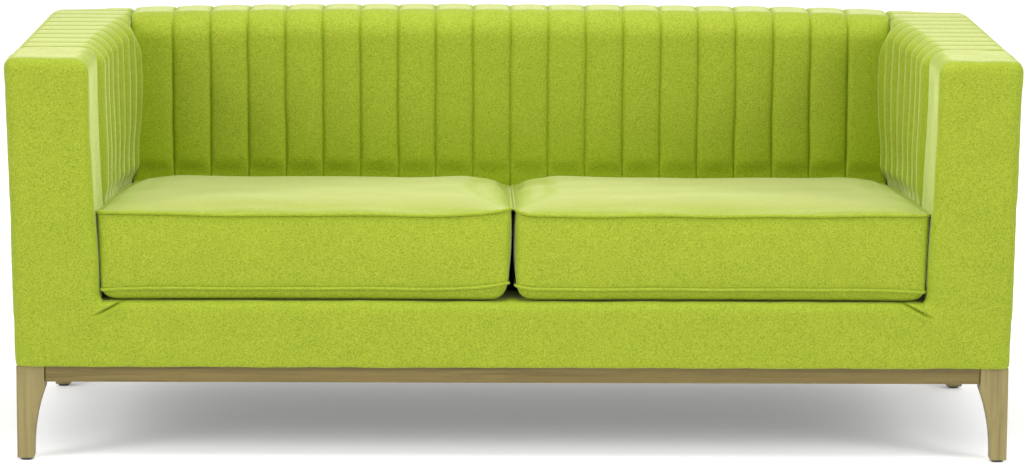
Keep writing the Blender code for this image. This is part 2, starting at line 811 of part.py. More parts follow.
PLAIN = material("plain", (0.5, 0.5, 0.5), 0.8)
UPHOLSTERY = material("upholstery", (0.42, 0.50, 0.045), 0.95)
BEECH = material("beech", (0.42, 0.32, 0.17), 0.5)
PINE = material("pine", (0.62, 0.48, 0.28), 0.7)
NYLON = material("nylon", (0.03, 0.03, 0.03), 0.5)
ZINC = material("zinc", (0.62, 0.63, 0.65), 0.35, 1.0)
SPRING_STEEL = material("spring_steel", (0.35, 0.36, 0.38), 0.3, 1.0)
FOAM_PAD = material("foam_pad", (0.80, 0.78, 0.66), 0.95)
FOAM_CORE = material("foam_core", (0.86, 0.83, 0.68), 0.95)
NONWOVEN = material("nonwoven", (0.02, 0.02, 0.02), 0.9)
TAPE = material("zip_tape", (0.36, 0.44, 0.05), 0.8)
BRASS = material("slider_metal", (0.55, 0.50, 0.38), 0.35, 1.0)

make_legs()
make_base_rails()
bolt_cutters = make_base_fastening()
make_seat_frame(bolt_cutters)
make_arm_frames()
make_arm_pads()
make_back_pad()
make_front_pads()
make_outer_panels()
make_dust_cover(bolt_cutters)
make_seat()
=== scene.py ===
"""Looks for the two-seat sofa: wool felt over channel-stitched arms and back, two piped seat cushions
and an oiled wooden base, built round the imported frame.

Metres, in the frame's axes: +Z up, the sofa faces -Y, and left (-X) is as seen from in front of it.
"""

import math

import bmesh
import bpy
import numpy as np
from mathutils import Matrix, Vector
from numpy.linalg import norm


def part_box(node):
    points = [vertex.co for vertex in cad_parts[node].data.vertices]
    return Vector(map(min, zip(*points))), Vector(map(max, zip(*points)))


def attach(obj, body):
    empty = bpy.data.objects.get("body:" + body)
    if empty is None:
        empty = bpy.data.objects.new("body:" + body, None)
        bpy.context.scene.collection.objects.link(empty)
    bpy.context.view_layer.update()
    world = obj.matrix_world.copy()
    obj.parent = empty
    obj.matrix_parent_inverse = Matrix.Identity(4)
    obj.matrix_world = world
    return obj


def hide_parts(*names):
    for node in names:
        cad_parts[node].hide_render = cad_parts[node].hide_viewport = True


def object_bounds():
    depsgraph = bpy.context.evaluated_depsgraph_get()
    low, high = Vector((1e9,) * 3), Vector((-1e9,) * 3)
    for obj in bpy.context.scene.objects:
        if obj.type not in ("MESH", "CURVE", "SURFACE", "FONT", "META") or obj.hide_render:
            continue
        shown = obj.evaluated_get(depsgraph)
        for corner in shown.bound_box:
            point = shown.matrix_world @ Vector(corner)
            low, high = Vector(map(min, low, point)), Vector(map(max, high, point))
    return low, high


SIDES = (("left", -1), ("right", 1))
CLEAR = 0.0005  # between pieces that touch

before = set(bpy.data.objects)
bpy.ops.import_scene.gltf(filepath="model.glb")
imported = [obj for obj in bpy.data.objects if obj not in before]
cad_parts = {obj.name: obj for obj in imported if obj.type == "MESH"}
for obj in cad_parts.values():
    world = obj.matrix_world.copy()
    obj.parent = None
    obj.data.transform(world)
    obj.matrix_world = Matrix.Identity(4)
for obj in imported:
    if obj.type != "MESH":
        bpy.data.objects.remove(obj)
cad_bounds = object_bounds()

# ---- sizes taken from the frame

low, high = cad_bounds
FRONT_Y, BACK_Y = low.y, high.y
ARM_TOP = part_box("arm_front_pad_right")[1].z
ARM_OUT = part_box("arm_front_pad_right")[1].x
ARM_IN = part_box("arm_pad_right")[0].x
BODY_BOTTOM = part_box("base_front_pad")[0].z
SILL_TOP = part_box("base_front_pad")[1].z
SLAB_BACK_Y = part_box("base_front_pad")[1].y  # of the padding on the front boards
BACK_FRONT_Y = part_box("back_pad")[0].y
BACK_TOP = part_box("back_pad")[1].z
PANEL_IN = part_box("side_panel_right")[0].x
BOARD_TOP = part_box("arm_top_rail_right")[1].z
BOARD_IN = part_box("arm_post_front_right")[0].x
BOARD_BACK_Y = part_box("arm_post_back_right")[1].y
BACK_BOARD_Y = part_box("back_top_rail")[0].y
panel_corners = [vertex.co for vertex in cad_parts["side_panel_right"].data.vertices]
FOOT_OUT = max(corner.x for corner in panel_corners if corner.z < BODY_BOTTOM + 0.01)

# ---- meshes from numbers


def placed(name, data):
    """A new object in the scene."""
    obj = bpy.data.objects.new(name, data)
    bpy.context.scene.collection.objects.link(obj)
    return obj


def obj_from(name, vertices, faces, merge=1e-5):
    """A smooth-shaded closed object from a vertex array and a list of faces."""
    mesh = bpy.data.meshes.new(name)
    mesh.from_pydata(np.asarray(vertices).tolist(), [], [list(map(int, f)) for f in faces])
    obj = placed(name, mesh)
    bm = bmesh.new()
    bm.from_mesh(mesh)
    bmesh.ops.remove_doubles(bm, verts=bm.verts, dist=merge)
    bmesh.ops.recalc_face_normals(bm, faces=bm.faces)
    bm.to_mesh(mesh)
    bm.free()
    mesh.shade_smooth()
    return obj


def points_of(obj, kind="co"):
    """The places of an object's points, or with kind "normal" their normals."""
    found = np.empty(len(obj.data.vertices) * 3)
    obj.data.vertices.foreach_get(kind, found)
    return found.reshape(-1, 3)


def set_points(obj, co):
    obj.data.vertices.foreach_set("co", np.asarray(co, float).ravel())
    obj.data.update()


def applied(obj):
    """Replaces obj's mesh by what its modifiers make of it."""
    bpy.context.view_layer.update()
    made = bpy.data.meshes.new_from_object(obj.evaluated_get(bpy.context.evaluated_depsgraph_get()))
    made.name = obj.name
    obj.modifiers.clear()
    obj.data = made
    return obj


def joined(name, objs):
    """One object that holds the meshes of objs, which are removed."""
    bm = bmesh.new()
    for obj in objs:
        bm.from_mesh(obj.data)
    mesh = bpy.data.meshes.new(name)
    bm.to_mesh(mesh)
    bm.free()
    for obj in objs:
        bpy.data.objects.remove(obj, do_unlink=True)
    return placed(name, mesh)


def rounded_path(corners, radii, step, closed=False):
    """Points about step apart along a 2-D path whose corners are rounded to those radii."""
    corners = [np.array(c, float) for c in corners]
    count = len(corners)
    bends = []
    for i, (corner, radius) in enumerate(zip(corners, radii)):
        if radius == 0 or (not closed and i in (0, count - 1)):
            bends.append([corner])
            continue
        before, after = corners[i - 1] - corner, corners[(i + 1) % count] - corner
        before, after = before / norm(before), after / norm(after)
        half = 0.5 * math.acos(np.clip(before @ after, -1, 1))
        middle = (before + after) / norm(before + after)
        centre = corner + middle * radius / math.sin(half)
        start = corner + before * radius / math.tan(half) - centre
        end = corner + after * radius / math.tan(half) - centre
        first = math.atan2(start[1], start[0])
        turn = (math.atan2(end[1], end[0]) - first + math.pi) % (2 * math.pi) - math.pi
        pieces = max(4, math.ceil(abs(turn) * radius / (0.5 * step)))
        angles = first + turn * np.arange(pieces + 1) / pieces
        bends.append([centre + radius * np.array([math.cos(a), math.sin(a)]) for a in angles])
    path = []
    for bend in bends + ([bends[0][:1]] if closed else []):
        if path:
            gap = bend[0] - path[-1]
            pieces = max(1, round(norm(gap) / step))
            path += [path[-1] + gap * k / pieces for k in range(1, pieces)]
        path += bend
    return np.array(path[:-1] if closed else path)


def xyz(*values):
    """Points from their coordinates: arrays of one shape, or single numbers."""
    return np.stack(np.broadcast_arrays(*values), axis=-1)


def right_normals(path):
    """Unit normals of a 2-D path, to its right."""
    along = np.gradient(path, axis=0)
    along /= norm(along, axis=1, keepdims=True)
    return xyz(along[:, 1], -along[:, 0])


def run_along(path):
    """The distance along a path to each of its points."""
    return np.concatenate([[0], np.cumsum(norm(np.diff(path, axis=0), axis=1))])


def grid_faces(grid):
    """The faces of a grid of points, from the array of their numbers."""
    return xyz(grid[:-1, :-1], grid[1:, :-1], grid[1:, 1:], grid[:-1, 1:]).reshape(-1, 4).tolist()


def band_faces(ring, following):
    """The faces between two closed rings of points, from their numbers."""
    return xyz(ring, np.roll(ring, -1), np.roll(following, -1), following).tolist()


def rim_of(grid):
    """The numbers of the points round the edge of a grid, in order."""
    return np.concatenate([grid[0, :-1], grid[:-1, -1], grid[-1, :0:-1], grid[:0:-1, 0]])


def swept(name, rings):
    """A closed object through rings, an array (stations, ring points, 3), with flat ends."""
    count, size = rings.shape[:2]
    index = np.arange(count * size).reshape(count, size)
    faces = [face for a, b in zip(index[:-1], index[1:]) for face in band_faces(a, b)]
    return obj_from(name, rings.reshape(-1, 3), faces + [index[0][::-1], index[-1]])


def slab(name, outer, inner):
    """A closed object between two equal grids of points, arrays (rows, columns, 3)."""
    rows, columns = outer.shape[:2]
    grid = np.arange(rows * columns).reshape(rows, columns)
    under, rim = grid + rows * columns, rim_of(grid)
    faces = grid_faces(grid) + grid_faces(under) + band_faces(rim, rim + rows * columns)
    return obj_from(name, np.concatenate([outer.reshape(-1, 3), inner.reshape(-1, 3)]), faces)


def ripple(where, length, seed, waves=7):
    """Smooth noise from -1 to 1 at the points where, with swells about length across."""
    rng = np.random.default_rng(seed)
    where = np.asarray(where, float)
    total = np.zeros(where.shape[:-1])
    for _ in range(waves):
        direction = rng.normal(size=where.shape[-1])
        direction *= 2 * math.pi / (length * rng.uniform(0.7, 1.6) * norm(direction))
        total += np.sin(where @ direction + rng.uniform(0, 2 * math.pi))
    return total / math.sqrt(waves) * 0.7


def ease(value, start, end):
    """From 0 at start to 1 at end, smoothly."""
    t = np.clip((value - start) / (end - start), 0, 1)
    return t * t * (3 - 2 * t)


def quarter_round(value, end, radius):
    """From 0 at radius before end to 1 at end, as a quarter of a circle falls away."""
    return 1 - np.sqrt(1 - np.clip((value - end) / radius + 1, 0, 1) ** 2)


# ---- sewn channels

SEAM_DEPTH = 0.0058  # how far the stitching pulls the cloth in
SEAM_WIDTH = 0.0030
ARM_CROWN = 0.0080  # on an arm's inner face
UPPER_CROWN = 0.0035  # more of it above the cushions
TOP_CROWN = 0.0008  # on its top
TOP_SEAM_SHARE = 0.3  # of a seam's depth that is left on the top
BACK_CROWN = 0.0030
SEAM_WANDER = 0.0011
CHANNEL_STEPS = (0, 0.0006, 0.0014, 0.0024, 0.0038, 0.006, 0.0095, 0.015, 0.0225)  # from a seam
WIDE_CHANNEL = 0.09  # from this width on, a channel has more stations across its middle
SEAM_FADE = 0.012  # channels flatten into the outer seam over this length
PRESSED_FADE = 0.030  # a cushion's push on the padding fades over this height


def channel_stations(seams):
    """Stations along a row of channels, close together near its seams."""
    stations = []
    for a, b in zip(seams[:-1], seams[1:]):
        near = [s for s in CHANNEL_STEPS if s < 0.46 * (b - a)]
        pieces = 6 if b - a > WIDE_CHANNEL else 2
        middle = [a + near[-1] + (b - a - 2 * near[-1]) * k / pieces for k in range(1, pieces)]
        stations += [a + s for s in near] + middle + [b - s for s in reversed(near[1:])]
    return np.array(stations + [seams[-1]])


def place_in_channel(stations, seams):
    """How far stations are past the seam before them, and from the next one."""
    seams = np.asarray(seams)
    place = np.clip(np.searchsorted(seams, stations, side="right") - 1, 0, len(seams) - 2)
    return stations - seams[place], seams[place + 1] - stations


def crown_share(stations, seams):
    """How much of a channel's crown there is at stations, from 0 at its seams to 1."""
    before, after = place_in_channel(stations, seams)
    return np.sin(math.pi * np.clip(before / (before + after), 0, 1)) ** 1.2


def channel_height(stations, seams, crown):
    """How far the cloth stands above its seams."""
    reach = np.maximum(np.minimum(*place_in_channel(stations, seams)), 0)
    return SEAM_DEPTH * (1 - np.exp(-((reach / SEAM_WIDTH) ** 1.1))) + crown * crown_share(stations, seams)


def wandering(stations, along, seams, seed):
    """Stations moved a little sideways, so that a seam isn't a ruled line. Array (stations, along)."""
    rng = np.random.default_rng(seed)
    phases = rng.uniform(0, 2 * math.pi, (3, len(seams)))
    sizes = rng.uniform(0.4, 1.0, len(seams))
    moved = np.zeros((len(seams), len(along)))
    for k, length in enumerate((0.31, 0.17, 0.083)):
        moved += np.sin(2 * math.pi * along[None, :] / length + phases[k][:, None]) / (k + 1.5)
    moved *= SEAM_WANDER * sizes[:, None]
    moved[0] = moved[-1] = 0
    shifts = [np.interp(stations, seams, column) for column in moved.T]
    return stations[:, None] + np.stack(shifts, axis=1)


# ---- arms

TOP_OUTER_ROUND = 0.016
TOP_INNER_ROUND = 0.025
ARM_SEAM_PITCH = 0.0664
FIRST_ARM_SEAM_Y = -0.237
ARM_REAR_Y = BACK_Y - 0.002
OUTER_SEAM_Z = ARM_TOP - 0.027
REAR_ROUND = 0.062  # the top's outer rear corner, in plan
REAR_DROP = 0.019
REAR_EDGE = 0.013  # rounding of the arm's rear edge
REAR_EDGE_DROP = 0.0104
OUTER_FLATTENING = 0.45  # how much flatter the channels are at the outer seam
INNER_FOOT = 0.007  # the opening between the arms is narrower at its foot
ARM_LEAN = 0.022  # the inner face comes in towards the back corner
LEAN_MOST_Z = 0.585
LEAN_SHARE = 0.72  # of the lean that is there at every height
TOP_FLARE = 0.0075  # the front of the inner face leans out towards the top
ARM_END_Y = BACK_FRONT_Y - 2 * CLEAR  # the inner face stops against the back
TURN_IN = 0.001  # it rounds off there
CORNER_X = ARM_IN - 0.0068  # where the arm's top meets the back's
PAD_BOTTOM = SILL_TOP - 0.017
PATH_STEP = 0.007


def arm_skin(depth):
    """The arm's skin in (distance from the middle, height), depth below its surface, from the outer seam
    over the top and down the inner face."""
    top, inner_x, outer_x = ARM_TOP - depth, ARM_IN + depth, ARM_OUT - depth
    corners = [(outer_x, OUTER_SEAM_Z), (outer_x, top), (inner_x, top), (inner_x, PAD_BOTTOM)]
    return rounded_path(corners, (0, TOP_OUTER_ROUND, TOP_INNER_ROUND, 0), PATH_STEP)


def arm_lining():
    """The hidden side of the arm's padding, from the foot of the inner face back to the outer seam."""
    inner, outer, top = BOARD_IN - 2 * CLEAR, PANEL_IN + 2 * CLEAR, BOARD_TOP + 2 * CLEAR
    return np.array([(inner, PAD_BOTTOM), (inner, top), (outer, top), (outer, OUTER_SEAM_Z)])


def lean_at(y):
    """How far the arm's inner face has come in, from its first seam to the back corner."""
    share = np.clip((y - FIRST_ARM_SEAM_Y) / (BACK_FRONT_Y + 0.02 - FIRST_ARM_SEAM_Y), 0, 1)
    return ARM_LEAN * share**2.2


def leaned(x, z, y):
    """x after the lean: most of it halfway up from the cushions, and none over the outer half of the top."""
    with_height = LEAN_SHARE + (1 - LEAN_SHARE) * np.exp(-(((z - LEAN_MOST_Z) / 0.085) ** 2))
    inner = 1 - ease(x, ARM_IN + 0.01, ARM_IN + 0.08)
    flare = ease(z, SILL_TOP + 0.10, ARM_TOP - 0.06)
    flare = flare * (1 - ease(y, FIRST_ARM_SEAM_Y + 0.1, BACK_FRONT_Y))
    return x + (TOP_FLARE * flare - lean_at(y) * with_height) * inner


def narrowed(z):
    """From 0 at the top of the cushions to 1 at the sill."""
    return ease(SILL_TOP + 0.20 - z, 0, 0.20)


def arm_relief(station, seams, skin):
    """How far the arm's cloth stands above its seams: most on the inner face, and little over the top."""
    share, height = crown_share(station, seams), channel_height(station, seams, ARM_CROWN)
    height = height * (1 - OUTER_FLATTENING * (1 - ease(run_along(skin), 0, SEAM_FADE)))
    on_top = ease(skin[:, 1], ARM_TOP - 0.034, ARM_TOP - 0.008)
    over = np.maximum(on_top, ease(skin[:, 0], ARM_OUT - 0.05, ARM_OUT - 0.02))
    fuller = UPPER_CROWN * ease(skin[:, 1], SILL_TOP + 0.16, SILL_TOP + 0.24) * (1 - over)
    height += (fuller - (ARM_CROWN - TOP_CROWN) * over) * share
    return height + (SEAM_DEPTH - height) * over * (1 - TOP_SEAM_SHARE) * (height < SEAM_DEPTH)


def arm_section(x, z, station):
    """The arm's section as it really stands: it leans, gives way to the cushion and is round at its rear."""
    inside = x < ARM_IN + 0.01
    x = leaned(x, z, station) - INNER_FOOT * narrowed(z) * inside
    pressed = 1 - ease(z, cushion_edge_z(station), cushion_edge_z(station) + PRESSED_FADE)
    x = x + np.maximum(cushion_side(station) - x, 0) * pressed * inside
    dome = quarter_round(station, BACK_Y, REAR_ROUND)
    dome = dome * ease(z, OUTER_SEAM_Z, ARM_TOP - 0.002) * ease(x, ARM_IN, ARM_OUT)
    x, z = x - REAR_ROUND * dome, z - REAR_DROP * dome
    edge = quarter_round(station, ARM_REAR_Y, REAR_EDGE)
    return x, z - REAR_EDGE_DROP * edge * ease(z, OUTER_SEAM_Z, ARM_TOP - 0.004)


def against_back(x, z, station):
    """x where the inner face runs up against the back, and its top edge meets the back's end."""
    turn_in = ease(station, ARM_END_Y - 0.010, ARM_END_Y)
    x = x + TURN_IN * turn_in * (1 - ease(z, ARM_TOP - 0.02, ARM_TOP - 0.005))
    taper = ease(z, ARM_TOP - 0.07, ARM_TOP - 0.004) * ease(station, ARM_END_Y - 0.07, ARM_END_Y)
    return x + np.maximum(CORNER_X - x, 0) * taper


def beside_back(x, z, station, lining):
    """The section's skin and lining where only the arm's top goes on, beside the back's end."""
    foot = BOARD_TOP + 2 * CLEAR if station < BOARD_BACK_Y else REAR_SEAM_Z
    lift = (foot - OUTER_SEAM_Z) * (1 - ease(x, ARM_IN + 0.02, ARM_IN + 0.07))
    x, z = np.maximum(x, CORNER_X), np.maximum(z, OUTER_SEAM_Z + lift)
    tight = ease(CORNER_X + 0.03 - x, 0, 0.03)
    square = (1 - tight**6) * ease(station, ARM_END_Y, ARM_END_Y + 0.03) * (x < CORNER_X + 0.05)
    hidden = np.maximum(lining, [0, foot])
    hidden[-1] = lining[-1]
    if station > BOARD_BACK_Y:
        hidden[:, 1] = np.minimum(hidden[:, 1], REAR_SEAM_Z - CLEAR)
    return x, z + (z.max() - z) * square, hidden


def arm_channels(name, side, seed):
    """The channel-stitched cover of an arm's top and inner face, with its padding."""
    seams = [*np.arange(FIRST_ARM_SEAM_Y, ARM_REAR_Y - 0.5 * ARM_SEAM_PITCH, ARM_SEAM_PITCH), ARM_REAR_Y]
    at_back = ARM_END_Y - np.array([-CLEAR, 0, 0.001, 0.003, 0.006, 0.01])
    stations = np.unique(np.round(np.concatenate([channel_stations(seams), at_back]), 6))
    skin, lining = arm_skin(SEAM_DEPTH), arm_lining()
    normal = right_normals(skin)
    y = wandering(stations, run_along(skin), seams, seed)
    y = np.where(np.abs(stations - ARM_END_Y)[:, None] < 0.012, stations[:, None], y)
    rings = []
    for station, skin_y in zip(stations, y):
        x, z = (skin + normal * arm_relief(station, seams, skin)[:, None]).T
        x, z = arm_section(x, z, station)
        if station < ARM_END_Y + 0.5 * CLEAR:
            x, hidden = against_back(x, z, station), lining
        else:
            x, z, hidden = beside_back(x, z, station, lining)
        hidden = xyz(side * hidden[:, 0], station, hidden[:, 1])
        rings.append(np.concatenate([xyz(side * x, skin_y, z), hidden]))
    return swept(name, np.array(rings))


# ---- back

CHANNELS = 20
BACK_SEAM_PITCH = 0.0712
BACK_FRONT_ROUND = 0.044
BACK_REAR_ROUND = 0.018
BACK_END_X = CORNER_X - 0.0012
BACK_FLATTENING = 0.4  # how much flatter the channels are at the rear seam
BACK_PRESSED, BACK_PRESSED_Z = 0.0028, 0.41  # how far the cushions push the padding in, and up to where
TOP_EVENNESS = 0.45  # how much of the channels' relief is lost over the top
BACK_END_DROP = 0.008  # the back's top is lower at its ends
REAR_SEAM_Z = BACK_TOP - 0.030
BACK_PAD_BOTTOM = PAD_BOTTOM - 0.020


def back_channels(name, seed):
    """The channel-stitched cover of the back, with its padding."""
    seams = BACK_SEAM_PITCH * (np.arange(CHANNELS + 1) - CHANNELS / 2)
    seams[0], seams[-1] = -BACK_END_X, BACK_END_X
    stations = channel_stations(seams)
    top = BACK_TOP - SEAM_DEPTH
    groove_y, rear_y = BACK_FRONT_Y + SEAM_DEPTH, BACK_Y - SEAM_DEPTH
    corners = [(rear_y, REAR_SEAM_Z), (rear_y, top), (groove_y, top), (groove_y, BACK_PAD_BOTTOM)]
    skin = rounded_path(corners, (0, BACK_REAR_ROUND, BACK_FRONT_ROUND, 0), PATH_STEP)
    board_y, board_top, panel_y = BACK_BOARD_Y - 2 * CLEAR, BOARD_TOP + 2 * CLEAR, BOARD_BACK_Y + 2 * CLEAR
    lining = [board_y, board_y, panel_y, panel_y], [BACK_PAD_BOTTOM, board_top, board_top, REAR_SEAM_Z]
    normal, along = right_normals(skin), run_along(skin)
    x = wandering(stations, along, seams, seed)
    fullness = np.random.default_rng(seed + 1).uniform(0.85, 1.15, CHANNELS)
    height = channel_height(stations, seams, BACK_CROWN)
    height *= np.interp(stations, 0.5 * (seams[1:] + seams[:-1]), fullness)
    near_seam = 1 - BACK_FLATTENING * (1 - ease(along, 0, SEAM_FADE))
    over = TOP_EVENNESS * ease(skin[:, 1], top - 0.03, top - 0.003)
    rings = []
    for station, skin_x, relief in zip(stations, x, height):
        relief = relief * near_seam
        relief = relief + over * (SEAM_DEPTH - relief)
        y, z = (skin + normal * relief[:, None]).T
        z = z - BACK_END_DROP * abs(station / BACK_END_X) ** 2.5 * ease(skin[:, 1], top - 0.09, top)
        pressed = 1 - ease(z, BACK_PRESSED_Z, BACK_PRESSED_Z + PRESSED_FADE)
        y = y + np.maximum(BACK_FRONT_Y + BACK_PRESSED - y, 0) * pressed
        rings.append(np.concatenate([xyz(skin_x, y, z), xyz(station, *lining)]))
    return swept(name, np.array(rings))


# ---- smooth border round the seat opening

BORDER_VOXEL = 0.0045
BORDER_SMOOTHING = 14
EDGE_ROUND = 0.019
FOOT_ROUND = 0.012
FOOT_EXTRA = 0.009  # cut off after the smoothing
LIP_DROP = 0.0038  # the cloth hangs a little over the tops of the legs
HEM_DEPTH = 0.0018
BORDER_END_Y = FIRST_ARM_SEAM_Y - 0.5 * CLEAR
PLEAT_START = 0.050  # inwards from the arm's inner face
PLEAT_LENGTH = 0.062
PLEAT_DEPTH = 0.0085
PLEAT_WIDTH = 0.0023
PLEAT_LOBE = 0.28  # height of the lobe under a pleat, as a share of its depth
PLEAT_DROP = 0.50  # how steeply the corner pleat runs down and out


def prism(name, outline, y_start, y_end, front_round=0.0):
    """A closed block with a flat outline in XZ, from y_start to y_end, its front edges rounded."""
    ahead = np.roll(outline, -1, axis=0) - np.roll(outline, 1, axis=0)
    inward = xyz(-ahead[:, 1], ahead[:, 0]) / norm(ahead, axis=1, keepdims=True)
    inward *= np.sign(np.sum(inward * (outline.mean(axis=0) - outline)))
    inward[inward[:, 1] > 0.6] *= 0.25  # the foot stays square
    angles = np.linspace(0, 0.5 * math.pi, 7) if front_round else [0.5 * math.pi]
    insets = [front_round * (1 - math.sin(a)) for a in angles] + [0]
    places = [y_start + front_round * (1 - math.cos(a)) for a in angles] + [y_end]
    rings = []
    for inset, y in zip(insets, places):
        flat = outline + inward * inset
        rings.append(xyz(flat[:, 0], y, flat[:, 1]))
    return swept(name, np.array(rings))


def border_blocks():
    """The border's plain solids: the arms' front faces, their tops back to the first seam, and the sill."""
    foot = BODY_BOTTOM - FOOT_EXTRA
    back_y = SLAB_BACK_Y - 0.001  # what the remeshing adds stays inside the solids
    corners = [(FOOT_OUT, foot), (ARM_OUT, ARM_TOP), (ARM_IN, ARM_TOP), (ARM_IN, foot)]
    face = rounded_path(corners, (FOOT_ROUND, TOP_OUTER_ROUND, TOP_INNER_ROUND, 0), 0.01, closed=True)
    outset = 0.001 * np.array([[-1, 0], [-1, 1], [1, 1], [1, 0]])
    cap = np.concatenate([arm_skin(0), arm_lining() + outset])
    for _, side in SIDES:
        yield prism("arm_face", face * [side, 1], FRONT_Y, back_y, EDGE_ROUND)
        yield prism("arm_cap", cap * [side, 1], FRONT_Y + EDGE_ROUND + 0.002, FIRST_ARM_SEAM_Y + 0.02)
    end, top = ARM_IN + 0.045, SILL_TOP - 0.0015
    sill = rounded_path([(-end, foot), (end, foot), (end, top), (-end, top)], [0.004] * 4, 0.02, closed=True)
    yield prism("sill", sill, FRONT_Y, back_y, EDGE_ROUND - 0.002)


def cut(bm, place, facing, remove=False):
    """Cuts a mesh along a plane. What lies beyond it can be removed, and the cut closed."""
    everything = bm.verts[:] + bm.edges[:] + bm.faces[:]
    made = bmesh.ops.bisect_plane(bm, geom=everything, plane_co=place, plane_no=facing, clear_outer=remove)
    if remove:
        bmesh.ops.holes_fill(bm, edges=[e for e in made["geom_cut"] if isinstance(e, bmesh.types.BMEdge)])


def trim_border(border):
    """Cuts the border at the first channel seam and its foot. The mesh is finer there and at the pleats."""
    bm = bmesh.new()
    bm.from_mesh(border.data)
    for before in (0.0075, 0.005, 0.003, 0.0015, 0):
        cut(bm, (0, BORDER_END_Y - before, 0), (0, 1, 0), remove=before == 0)
    fold = (ARM_IN - 0.022, SILL_TOP - 0.012)
    front = [v for v in bm.verts if v.co.y < FRONT_Y + 0.008]
    folded = {v for v in front if math.dist((abs(v.co.x), v.co.z), fold) < 0.045}
    near = [e for e in bm.edges if folded.issuperset(e.verts)]
    bmesh.ops.subdivide_edges(bm, edges=near, cuts=3, use_grid_fill=True)
    under = (0, LIP_DROP, FRONT_Y - SLAB_BACK_Y)  # slopes up to the boards
    for above in (0.006, 0.0035, 0.0018, 0.0008, 0):
        cut(bm, (0, SLAB_BACK_Y, BODY_BOTTOM + CLEAR + above), under, remove=above == 0)
    bmesh.ops.recalc_face_normals(bm, faces=bm.faces)
    bm.to_mesh(border.data)
    bm.free()
    border.data.shade_smooth()


def pull_last_seam(co, normal):
    """Draws the border in along the seam where the channels start."""
    inside = (np.abs(co[:, 0]) > BOARD_IN - 0.02) & (co[:, 2] < BOARD_TOP + 0.004)
    beside = np.maximum(BORDER_END_Y - co[:, 1], 0)
    pull = SEAM_DEPTH * np.exp(-((beside / SEAM_WIDTH) ** 1.2)) * ~inside
    flat = normal * [1, 0, 1]
    flat /= np.maximum(norm(flat, axis=1, keepdims=True), 1e-6)
    co -= flat * pull[:, None]


def shape_opening(co):
    """Narrows the opening at its foot, leans its sides out towards the top, and turns in a small hem."""
    hem = HEM_DEPTH * np.exp(-(co[:, 2] - BODY_BOTTOM + LIP_DROP) / 0.0025)
    co[:, 1] += hem * (co[:, 1] < SLAB_BACK_Y - 0.012)
    away, height = np.abs(co[:, 0]), co[:, 2]
    inner_face = ease(ARM_IN + 0.025 - away, 0, 0.02) * (away > ARM_IN - 0.01)
    low = narrowed(height) * ease(height, SILL_TOP - 0.034, SILL_TOP - 0.004)
    away = away - INNER_FOOT * low * inner_face
    away = np.where(away > ARM_IN - 0.02, leaned(away, height, FIRST_ARM_SEAM_Y), away)
    co[:, 0] = np.sign(co[:, 0]) * away


def fold_pleats(co):
    """Folds a pleat, with a lobe under it, where each arm meets the sill."""
    for _, side in SIDES:
        along = side * co[:, 0] - (ARM_IN - PLEAT_START)
        off = co[:, 2] - (SILL_TOP - 0.002 - PLEAT_DROP * along)
        length = ease(along, -0.01, 0.004) * (1 - ease(along, 0.4 * PLEAT_LENGTH, PLEAT_LENGTH))
        fold = np.exp(-((off / PLEAT_WIDTH) ** 2)) - PLEAT_LOBE * np.exp(-(((off + 0.007) / 0.005) ** 2))
        co[:, 1] += PLEAT_DEPTH * length * fold * (co[:, 1] < SLAB_BACK_Y - 0.01)


def front_border(name):
    """The smooth border round the seat opening: the arms' fronts and the sill, in one cloth."""
    border = joined(name, list(border_blocks()))
    remesh = border.modifiers.new("skin", "REMESH")
    remesh.mode, remesh.voxel_size, remesh.adaptivity = "VOXEL", BORDER_VOXEL, 0
    smooth = border.modifiers.new("soften", "SMOOTH")
    smooth.factor, smooth.iterations = 0.5, BORDER_SMOOTHING
    trim_border(applied(border))
    co, normal = points_of(border), points_of(border, "normal")
    pull_last_seam(co, normal)
    shape_opening(co)
    fold_pleats(co)
    swell = 0.0006 * ripple(co, 0.12, 31) + 0.0004 * ripple(co, 0.05, 32)
    set_points(border, co + normal * swell[:, None])
    return border


# ---- outer panels

PANEL_PULL = 0.0035  # how far an edge is drawn in at its seam
PANEL_FADE = 0.007
PANEL_STEP = 0.012


def spaced(start, end, step, edge=0.006, fine=4):
    """Values from start to end, step apart, closer together at both ends."""
    near = np.array([edge * (k / fine) ** 1.5 for k in range(fine)])
    middle = np.linspace(start + edge, end - edge, max(2, round((end - start - 2 * edge) / step)))
    return np.concatenate([start + near, middle, end - near[::-1]])


def pulled_edges(u, v):
    """How far the cloth is drawn in near a panel's four edges."""
    edge = np.minimum(np.minimum(u - u[0, 0], u[-1, -1] - u), np.minimum(v - v[0, 0], v[-1, -1] - v))
    return PANEL_PULL * np.exp(-edge / PANEL_FADE)


def half_width(z):
    """How far out the sofa's sides are at a height. They lean in towards the floor."""
    return FOOT_OUT + (ARM_OUT - FOOT_OUT) * (z - BODY_BOTTOM) / (ARM_TOP - BODY_BOTTOM)


def side_panel(name, side, seed):
    along = spaced(SLAB_BACK_Y + CLEAR, BOARD_BACK_Y, PANEL_STEP)
    y, z = np.meshgrid(along, spaced(BODY_BOTTOM, OUTER_SEAM_Z - CLEAR, PANEL_STEP), indexing="ij")
    swell = 0.0009 * ripple(xyz(y, z), 0.22, seed)
    outer = xyz(side * (half_width(z) + swell - pulled_edges(y, z)), y, z)
    return slab(name, outer, xyz(side * (PANEL_IN + CLEAR), y, z))


